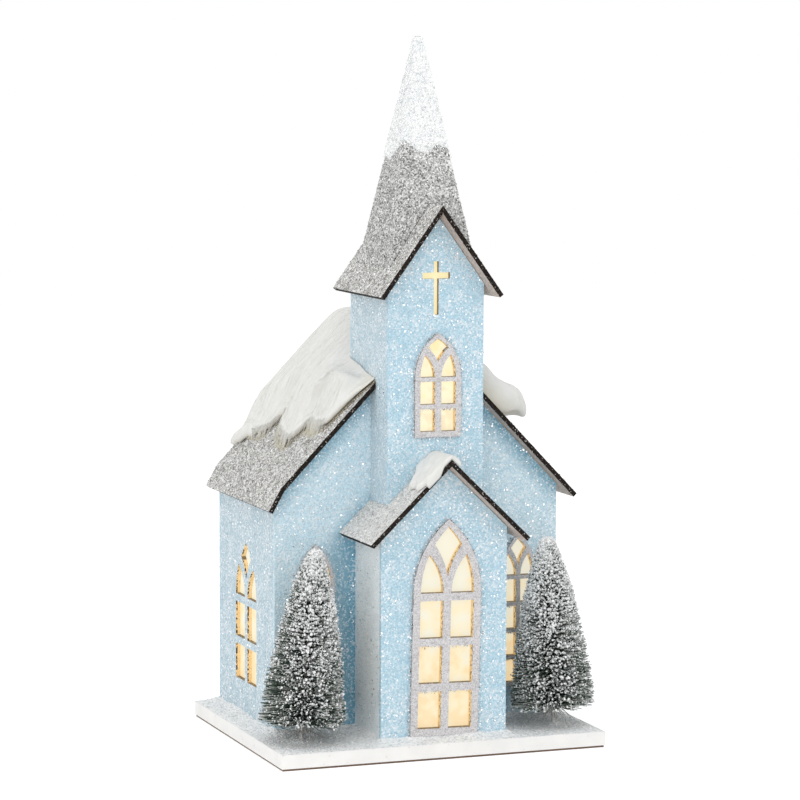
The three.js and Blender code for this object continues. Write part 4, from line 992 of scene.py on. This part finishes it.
def combed_fibres(name, count, left_share, inset, length, stray, lift):
    """Loose fibres combed down the slope, from an inset behind the edge to a little past it."""
    side = np.where(draw.random(count) < left_share, -1, 1)
    start_y = nave_low.y + draw.uniform(3, 100, count) * mm
    limit = np.where(side < 0, edge_reach(-1, start_y), edge_reach(1, start_y))
    inner = np.where(start_y < tower_back_y, tower_high.x - ridge_x + 2 * mm, 1 * mm)
    start_out = np.maximum(limit - inset(limit - inner), inner)
    steps = np.linspace(0, 1, 7)[None, :]
    reach = draw.uniform(*length, (count, 1)) * mm
    out = start_out[:, None] + reach * steps * nave_lean
    sway = draw.normal(0.1, stray, (count, 1)) * steps
    sway = sway + 0.05 * np.sin(steps * 5 + draw.uniform(0, 6, (count, 1)))
    y = np.clip(start_y[:, None] + reach * sway, nave_low.y + 2 * mm, batting_back - 0.3 * mm)
    edge_now = np.where(side[:, None] < 0, edge_reach(-1, y), edge_reach(1, y))
    past = np.maximum(out - edge_now, 0)
    held = np.minimum(out, edge_now - 0.4 * mm)
    top = batting_height(ridge_x + side[:, None] * held, y)[0]
    roof = ridge_z - out * nave_slope + 0.5 * mm
    z = top + draw.uniform(*lift, (count, 1)) * mm - past * nave_slope
    z = z + (roof - z) * smooth_step(past, 0, 2.5 * mm)
    lines = np.stack([ridge_x + side[:, None] * np.minimum(out, fibre_limit), y, z], -1)
    kept = (np.abs(np.diff(z, axis=1)).max(1) < 5 * mm) & (past.max(1) < 5 * mm)
    strands(name, lines[kept], np.linspace(0.1, 0.05, 7) * mm, cotton_finish, "snow_batting")


def all_over(span):
    return span * draw.random(len(span)) ** 1.5


def near_the_edge(span):
    return draw.uniform(1, 5, len(span)) * mm


combed_fibres("batting_fibres", 1800, 0.72, all_over, (8, 24), 0.12, (-0.1, 0.06))
combed_fibres("batting_fringe", 1500, 0.85, near_the_edge, (4, 10), 0.3, (-1.2, 0.1))

# Painted shade: yellow and brown crumbs of grit on the roof, in stretches along the batting's left edge and
# along its front edge, where the cotton's edge meets the roof.
edge_crumbs = 1500
front_crumbs = 500
edge_shade_tones = [(0.5, 0.43, 0.28), (0.2, 0.13, 0.08), (0.62, 0.58, 0.46), (0.36, 0.29, 0.18)]
edge_shade_grit = glitter("edge_shade_crumbs", *edge_shade_tones, roughness=0.6)
y = nave_low.y + draw.uniform(-6.5, 76, edge_crumbs) * mm
out = edge_reach(-1, y) + draw.normal(0.9, 0.7, edge_crumbs) * mm
shaded_stretch = ripple(y / (6 * mm), y * 0, 101, 2) > 0.1
front_out = draw.uniform(27, 50, front_crumbs) * mm
front_y = np.interp(front_out, left_edge_reach[:6], left_edge_at[:6]) + nave_low.y
front_y = front_y + draw.normal(0, 0.5, front_crumbs) * mm
y, out = np.concatenate([y[shaded_stretch], front_y]), np.concatenate([out[shaded_stretch], front_out])
places = np.stack([ridge_x - out, y, ridge_z - out * nave_slope + 0.3 * mm], -1)
chips("batting_edge_shade", places, upward(-46), 0.5 * mm, edge_shade_grit, "snow_batting", lean=1.0)


# Porch snow. A small pad of the same batting, glued over the porch's ridge and down its left side,
# and pressed flat.
patch_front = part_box("porch_roof_snow")[0].y
porch_roof_low, porch_roof_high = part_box("porch_roof_right")
porch_ridge_x = porch_roof_low.x - glue_gap
porch_pitch = math.radians(roof_pitch["porch_roof_right"])
porch_slope = math.tan(porch_pitch)
porch_lean = math.cos(porch_pitch)
porch_ridge_z = porch_roof_high.z + glue_gap * porch_slope
patch_loft = 3.1 * mm
patch_gap = 0.3 * mm
lip_drop = 3.4 * mm
rake_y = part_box("porch_roof_left")[0].y
patch_y = spread(rake_y - 1.1 * mm, tower_low.y - 0.4 * mm, 0.4 * mm)
patch_at = np.array([0, 3, 9, 13, 18, 24, 30]) * mm
patch_reach = np.array([15, 18.5, 17.5, 19, 13, 11, 6]) * mm
patch_right = 4.6 * mm
share = spread(0, 1, 1 / 56)
y = np.repeat(patch_y[:, None], len(share), 1)
reach = np.interp(y - patch_front, patch_at, patch_reach) + ripple(y / (2.4 * mm), y * 0, 91, 2) * 0.8 * mm
right = patch_right + ripple(y / (3 * mm), y * 0 + 5, 95, 2) * 0.7 * mm
x = porch_ridge_x - reach + (reach + right) * share[None, :]
from_ends = np.minimum(x - (porch_ridge_x - reach), porch_ridge_x + right - x) / porch_lean
inward = np.minimum(from_ends, y - patch_y[0])
loft = patch_loft * (1 + 0.25 * ripple(x / (4 * mm), y / (4 * mm), 97, 2))
bend = np.clip(np.maximum(inward, 0) / (0.5 * loft), 0, 1)
full = np.sqrt(1 - (1 - bend) ** 2)
roof = porch_ridge_z - abs(x - porch_ridge_x) * porch_slope
crown = porch_ridge_z + 2.6 * mm
high = roof + (patch_gap + loft / 2 * (1 + full)) / porch_lean
high = crown - np.logaddexp(0, (crown - high) / (1.2 * mm)) * 1.2 * mm
low_side = np.minimum(roof + (patch_gap + loft / 2 * (1 - full)) / porch_lean, high - 0.02 * mm)
# In front of the rake a lip of it hangs down over the board's edge.
beside = porch_ridge_x - x
lip = smooth_step(beside, 4 * mm, 7 * mm) * (1 - smooth_step(beside, 12.5 * mm, 15 * mm))
lip = lip * smooth_step(rake_y - y, 0.1 * mm, 0.5 * mm)
low_side = low_side - lip_drop * lip
high = high - 0.9 * mm * lip
over = np.stack([x, y, high], -1)
under = np.stack([x, y, low_side], -1)
keep = np.full((x.shape[0] - 1, x.shape[1] - 1), True)
patch = layer("porch_batting", over, under, keep, cotton_finish, "snow_batting", smooth=True)
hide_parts("porch_roof_snow")


# Trees. Bottle brushes: green bristles held between two twisted wires, so that they stand in a
# winding row, trimmed to a cone and flocked white while the glue is wet. Snow sits on each row.
brush_foot = 10 * mm
brush_height = 103 * mm
brush_radius = 21.4 * mm
row_pitch = 1.9 * mm
bristle_count = 7200
foot_wires = 34

green_bristle = Finish("green_bristle", Roughness=0.6, Specular_IOR_Level=0.4)
green_bristle.feed(
    Base_Color=green_bristle.own_share().ramp(
        (0.0, (0.02, 0.04, 0.028)),
        (0.42, (0.05, 0.09, 0.065)),
        (0.58, (0.16, 0.19, 0.16)),
        (0.72, (0.5, 0.52, 0.49)),
        (1.0, (0.8, 0.81, 0.79)),
    )
)
twisted_wire = Finish("twisted_wire", Metallic=0.6, Roughness=0.5)
twist = twisted_wire.noise(1.2 * mm, 3, (1, 1, 1.8))
wire_colour = twist.ramp((0.35, (0.2, 0.19, 0.18)), (0.6, (0.62, 0.6, 0.57)))
twisted_wire.feed(Base_Color=wire_colour, Normal=twist.bump(0.3 * mm))
dress(twisted_wire, "tree_left_stem", "tree_right_stem")
tree_flock = Finish("tree_flock", Roughness=0.85)
flock_tones = [(0.0, (0.54, 0.56, 0.55)), (0.45, (0.81, 0.82, 0.82)), (1.0, (0.94, 0.94, 0.94))]
tree_flock.feed(Base_Color=tree_flock.own_share().ramp(*flock_tones))


def brush_outline(share):
    """The brush's radius at a share of its height."""
    return brush_radius * (1 - share**1.55) ** 0.85


def leaning(foot, degrees, places):
    """Places measured from a tree's foot, in the frame of its leaning stem."""
    turn = math.radians(degrees)
    x = places[..., 0] * math.cos(turn) + places[..., 2] * math.sin(turn)
    z = places[..., 2] * math.cos(turn) - places[..., 0] * math.sin(turn)
    return np.stack([foot[0] + x, foot[1] + places[..., 1], base_top + z], -1)


def crumbs(name, places, size, finish, slot):
    """Lumps of flock with eight faces, each with its own size and turn."""
    count = len(places)
    tips = np.array([(1, 0, 0), (-1, 0, 0), (0, 1, 0), (0, -1, 0), (0, 0, 1), (0, 0, -1)], float)
    faces = [(0, 2, 4), (2, 1, 4), (1, 3, 4), (3, 0, 4), (2, 0, 5), (1, 2, 5), (3, 1, 5), (0, 3, 5)]
    shape = tips * draw.uniform(0.4, 1.5, (count, 6, 1)) * size[:, None, None]
    turn, _ = np.linalg.qr(draw.normal(0, 1, (count, 3, 3)))
    turn[:, :, 0] *= np.sign(np.linalg.det(turn))[:, None]
    points = places[:, None] + np.einsum("nij,nkj->nki", turn, shape)
    faces = np.array(faces) + 6 * np.arange(count)[:, None, None]
    return piece(name, points.reshape(-1, 3), [faces.reshape(-1, 3)], finish, slot)


brush_length = brush_height - brush_foot
wound_share = 0.975
lean_of = {"left": 4.6, "right": -2.6}
flock_count_of = {"left": 17500, "right": 24500}
for side, foot in zip(("left", "right"), tree_feet):
    lean, flock_count = lean_of[side], flock_count_of[side]
    winding = draw.random(bristle_count) ** 1.15 * brush_length * wound_share / row_pitch
    turn = 2 * math.pi * (winding % 1)
    share = winding * row_pitch / (brush_length * wound_share)
    climb = np.radians(3 + 58 * share**3.2) + draw.normal(0, 0.04, bristle_count)
    trim = brush_outline(share) * draw.uniform(0.86, 1.03, bristle_count) + 0.8 * mm
    steps = np.linspace(0, 1, 4)[None, :]
    out = 0.6 * mm + trim[:, None] * steps
    rise = trim[:, None] * steps * np.tan(climb)[:, None] * (0.7 + 0.3 * steps)
    height = brush_foot + brush_length * wound_share * share[:, None] + rise
    wander = turn[:, None] + draw.normal(0, 0.05, (bristle_count, 1)) * steps
    lines = np.stack([out * np.cos(wander), out * np.sin(wander), height], -1)
    lines[..., 2] = np.minimum(lines[..., 2], brush_height + 1.5 * mm)
    thickness = np.array([0.24, 0.25, 0.24, 0.18]) * mm
    bristles = leaning(foot, lean, lines)
    brush = strands(f"tree_{side}_brush", bristles, thickness, green_bristle, "green_bristle")
    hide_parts(f"tree_{side}_bristles")
    # Flock lies on the tips, more of it higher up, and little on the left tree's outer side.
    snowy = (0.25 + 0.75 * smooth_step(share, 0.15, 0.75)) * (1 - 0.3 * smooth_step(share, 0.7, 0.95))
    if side == "left":
        snowy = snowy * (0.3 + 0.7 * smooth_step(np.cos(turn + 0.47), -0.85, 0.0))
    patches = ripple(6 * np.cos(turn) + 9, 14 * share + 4 * np.sin(turn), 51, 2) > -0.15
    snowy = snowy * (0.55 + 0.45 * patches)
    pick = draw.choice(bristle_count, flock_count, p=snowy / snowy.sum())
    along = 1.02 - draw.random(flock_count) ** 1.5 * 0.4
    tips = np.stack([np.interp(along, steps[0], row) for row in np.eye(4)], -1)
    places = np.einsum("nk,nkj->nj", tips, lines[pick])
    places[:, 2] += draw.uniform(0.1, 0.5, flock_count) * mm
    clumped = ripple(3 * np.cos(turn[pick]) + 5, 18 * share[pick] + 3 * np.sin(turn[pick]), 55, 2) > 0.05
    size = draw.uniform(0.26, 0.67, flock_count) * (1 + 0.3 * clumped) * mm
    crumbs(f"tree_{side}_flock", leaning(foot, lean, places), size, tree_flock, "white_flock")
    # The lowest wires splay over the base.
    turn = draw.uniform(0, 2 * math.pi, foot_wires)
    steps = np.linspace(0, 1, 6)[None, :]
    out = 0.8 * mm + draw.uniform(5, 12, (foot_wires, 1)) * mm * steps
    start = draw.uniform(6, 12, (foot_wires, 1)) * mm
    height = start - (start - draw.uniform(2.2, 6, (foot_wires, 1)) * mm) * steps**1.6
    lines = np.stack([out * np.cos(turn)[:, None], out * np.sin(turn)[:, None], height], -1)
    thickness = np.linspace(0.2, 0.1, 6) * mm
    strands(f"tree_{side}_foot_wires", leaning(foot, lean, lines), thickness, twisted_wire, "stem_wire")


# Battery box, switch and lights. A moulded tub let into the base holds three cells between plated
# springs. Its door turns on two pins, and a slide switch beside it works the lamps inside.
def moulded(name, colour, roughness):
    made = Finish(name, Roughness=roughness, Specular_IOR_Level=0.5)
    cloud = made.noise(12 * mm).ramp((0.35, 0), (0.7, 1))
    shaded = cloud.mix(colour, tuple(0.9 * c for c in colour))
    return made.feed(Base_Color=shaded, Normal=made.noise(0.5 * mm).bump(0.03 * mm))


dress(moulded("white_moulding", (0.78, 0.78, 0.76), 0.45), "battery_box", "battery_door")
dress(moulded("black_moulding", (0.03, 0.03, 0.032), 0.4), "switch_slider")
dress(moulded("white_sheath", (0.7, 0.69, 0.66), 0.5), "led_cable")

plated = Finish("nickel_plate", Metallic=1.0)
drawn = plated.noise(0.8 * mm, 4, (0.2, 1, 1))
plated.feed(
    Base_Color=drawn.ramp((0.3, (0.5, 0.5, 0.49)), (0.7, (0.72, 0.72, 0.71))),
    Roughness=drawn.ramp((0.3, 0.22), (0.7, 0.4)),
)
contacts = ["contact_negative", "contact_link_left", "contact_link_right", "contact_positive"]
dress(plated, *contacts, "switch_body", "box_screw_front", "box_screw_back")

wrapped_cell = Finish("wrapped_cell", Metallic=0.4, Roughness=0.3)
along_cell = wrapped_cell.place.part(0) + wrapped_cell.noise(4 * mm, 4) * (0.4 * mm)
cell_colour = (along_cell > 0.0).ramp((0.0, (0.06, 0.08, 0.11)), (1.0, (0.1, 0.12, 0.15)))
dress(wrapped_cell.feed(Base_Color=cell_colour), "battery_1", "battery_2", "battery_3")

lamp_lens = Finish("lamp_lens", Roughness=0.2, Emission_Color=(1.0, 0.78, 0.45, 1), Emission_Strength=1.5)
lens_colour = lamp_lens.noise(2 * mm).ramp((0.3, (0.9, 0.78, 0.5)), (0.7, (0.95, 0.88, 0.66)))
dress(lamp_lens.feed(Base_Color=lens_colour), "led_nave", "led_porch", "led_tower")


# Studio. A white floor that runs on as the backdrop, lit softly from above and from both sides, as
# for a catalogue picture. The floor and the world look white, and throw less light than they show.
floor_half = 3.0
floor_drop = 0.05 * mm
floor_light = 0.33
world_light = 0.79


def seen_plainly(finish):
    """1 for the camera, for reflections and through clear pieces, and 0 for the light that falls."""
    seen = finish.node("ShaderNodeLightPath", output="Is Camera Ray")
    return seen | seen.other("Is Glossy Ray") | seen.other("Is Transmission Ray")


world = bpy.data.worlds.new("studio")
bpy.context.scene.world = world
sky = Finish("studio", world, Color=(1, 1, 1, 1))
sky.feed(Strength=sky.node("ShaderNodeMapRange", {"Value": seen_plainly(sky), "To Min": world_light}))

floor_finish = Finish("studio_floor", Roughness=0.9, Specular_IOR_Level=0.0, Emission_Color=(1, 1, 1, 1))
floor_glow = seen_plainly(floor_finish) * floor_light
floor_finish.feed(Base_Color=(0.93, 0.93, 0.93, 1), Emission_Strength=floor_glow)
floor_mesh = bpy.data.meshes.new("floor")
corners = [(x * floor_half, y * floor_half, 0) for x, y in ((-1, -1), (1, -1), (1, 1), (-1, 1))]
floor_mesh.from_pydata(corners, [], [(0, 1, 2, 3)])
floor_mesh.materials.append(floor_finish.material)
floor = bpy.data.objects.new("floor", floor_mesh)
bpy.context.scene.collection.objects.link(floor)
floor.location.z = -floor_drop
floor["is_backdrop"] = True

lit_middle = Vector((0, 0, 0.17))
for name, place, size, power in (
    ("overhead", (-0.2, -0.3, 1.5), 1.4, 6),
    ("left_front", (-0.95, -1.6, 0.6), 1.0, 6.4),
    ("left", (-1.6, -0.3, 0.6), 1.0, 2.6),
    ("right_front", (1.2, -1.5, 0.7), 1.0, 2.3),
):
    data = bpy.data.lights.new(name, "AREA")
    data.size = size
    data.energy = power
    lamp = bpy.data.objects.new(name, data)
    lamp.location = place
    lamp.rotation_euler = (lit_middle - Vector(place)).to_track_quat("-Z", "Y").to_euler()
    bpy.context.scene.collection.objects.link(lamp)

low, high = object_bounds()
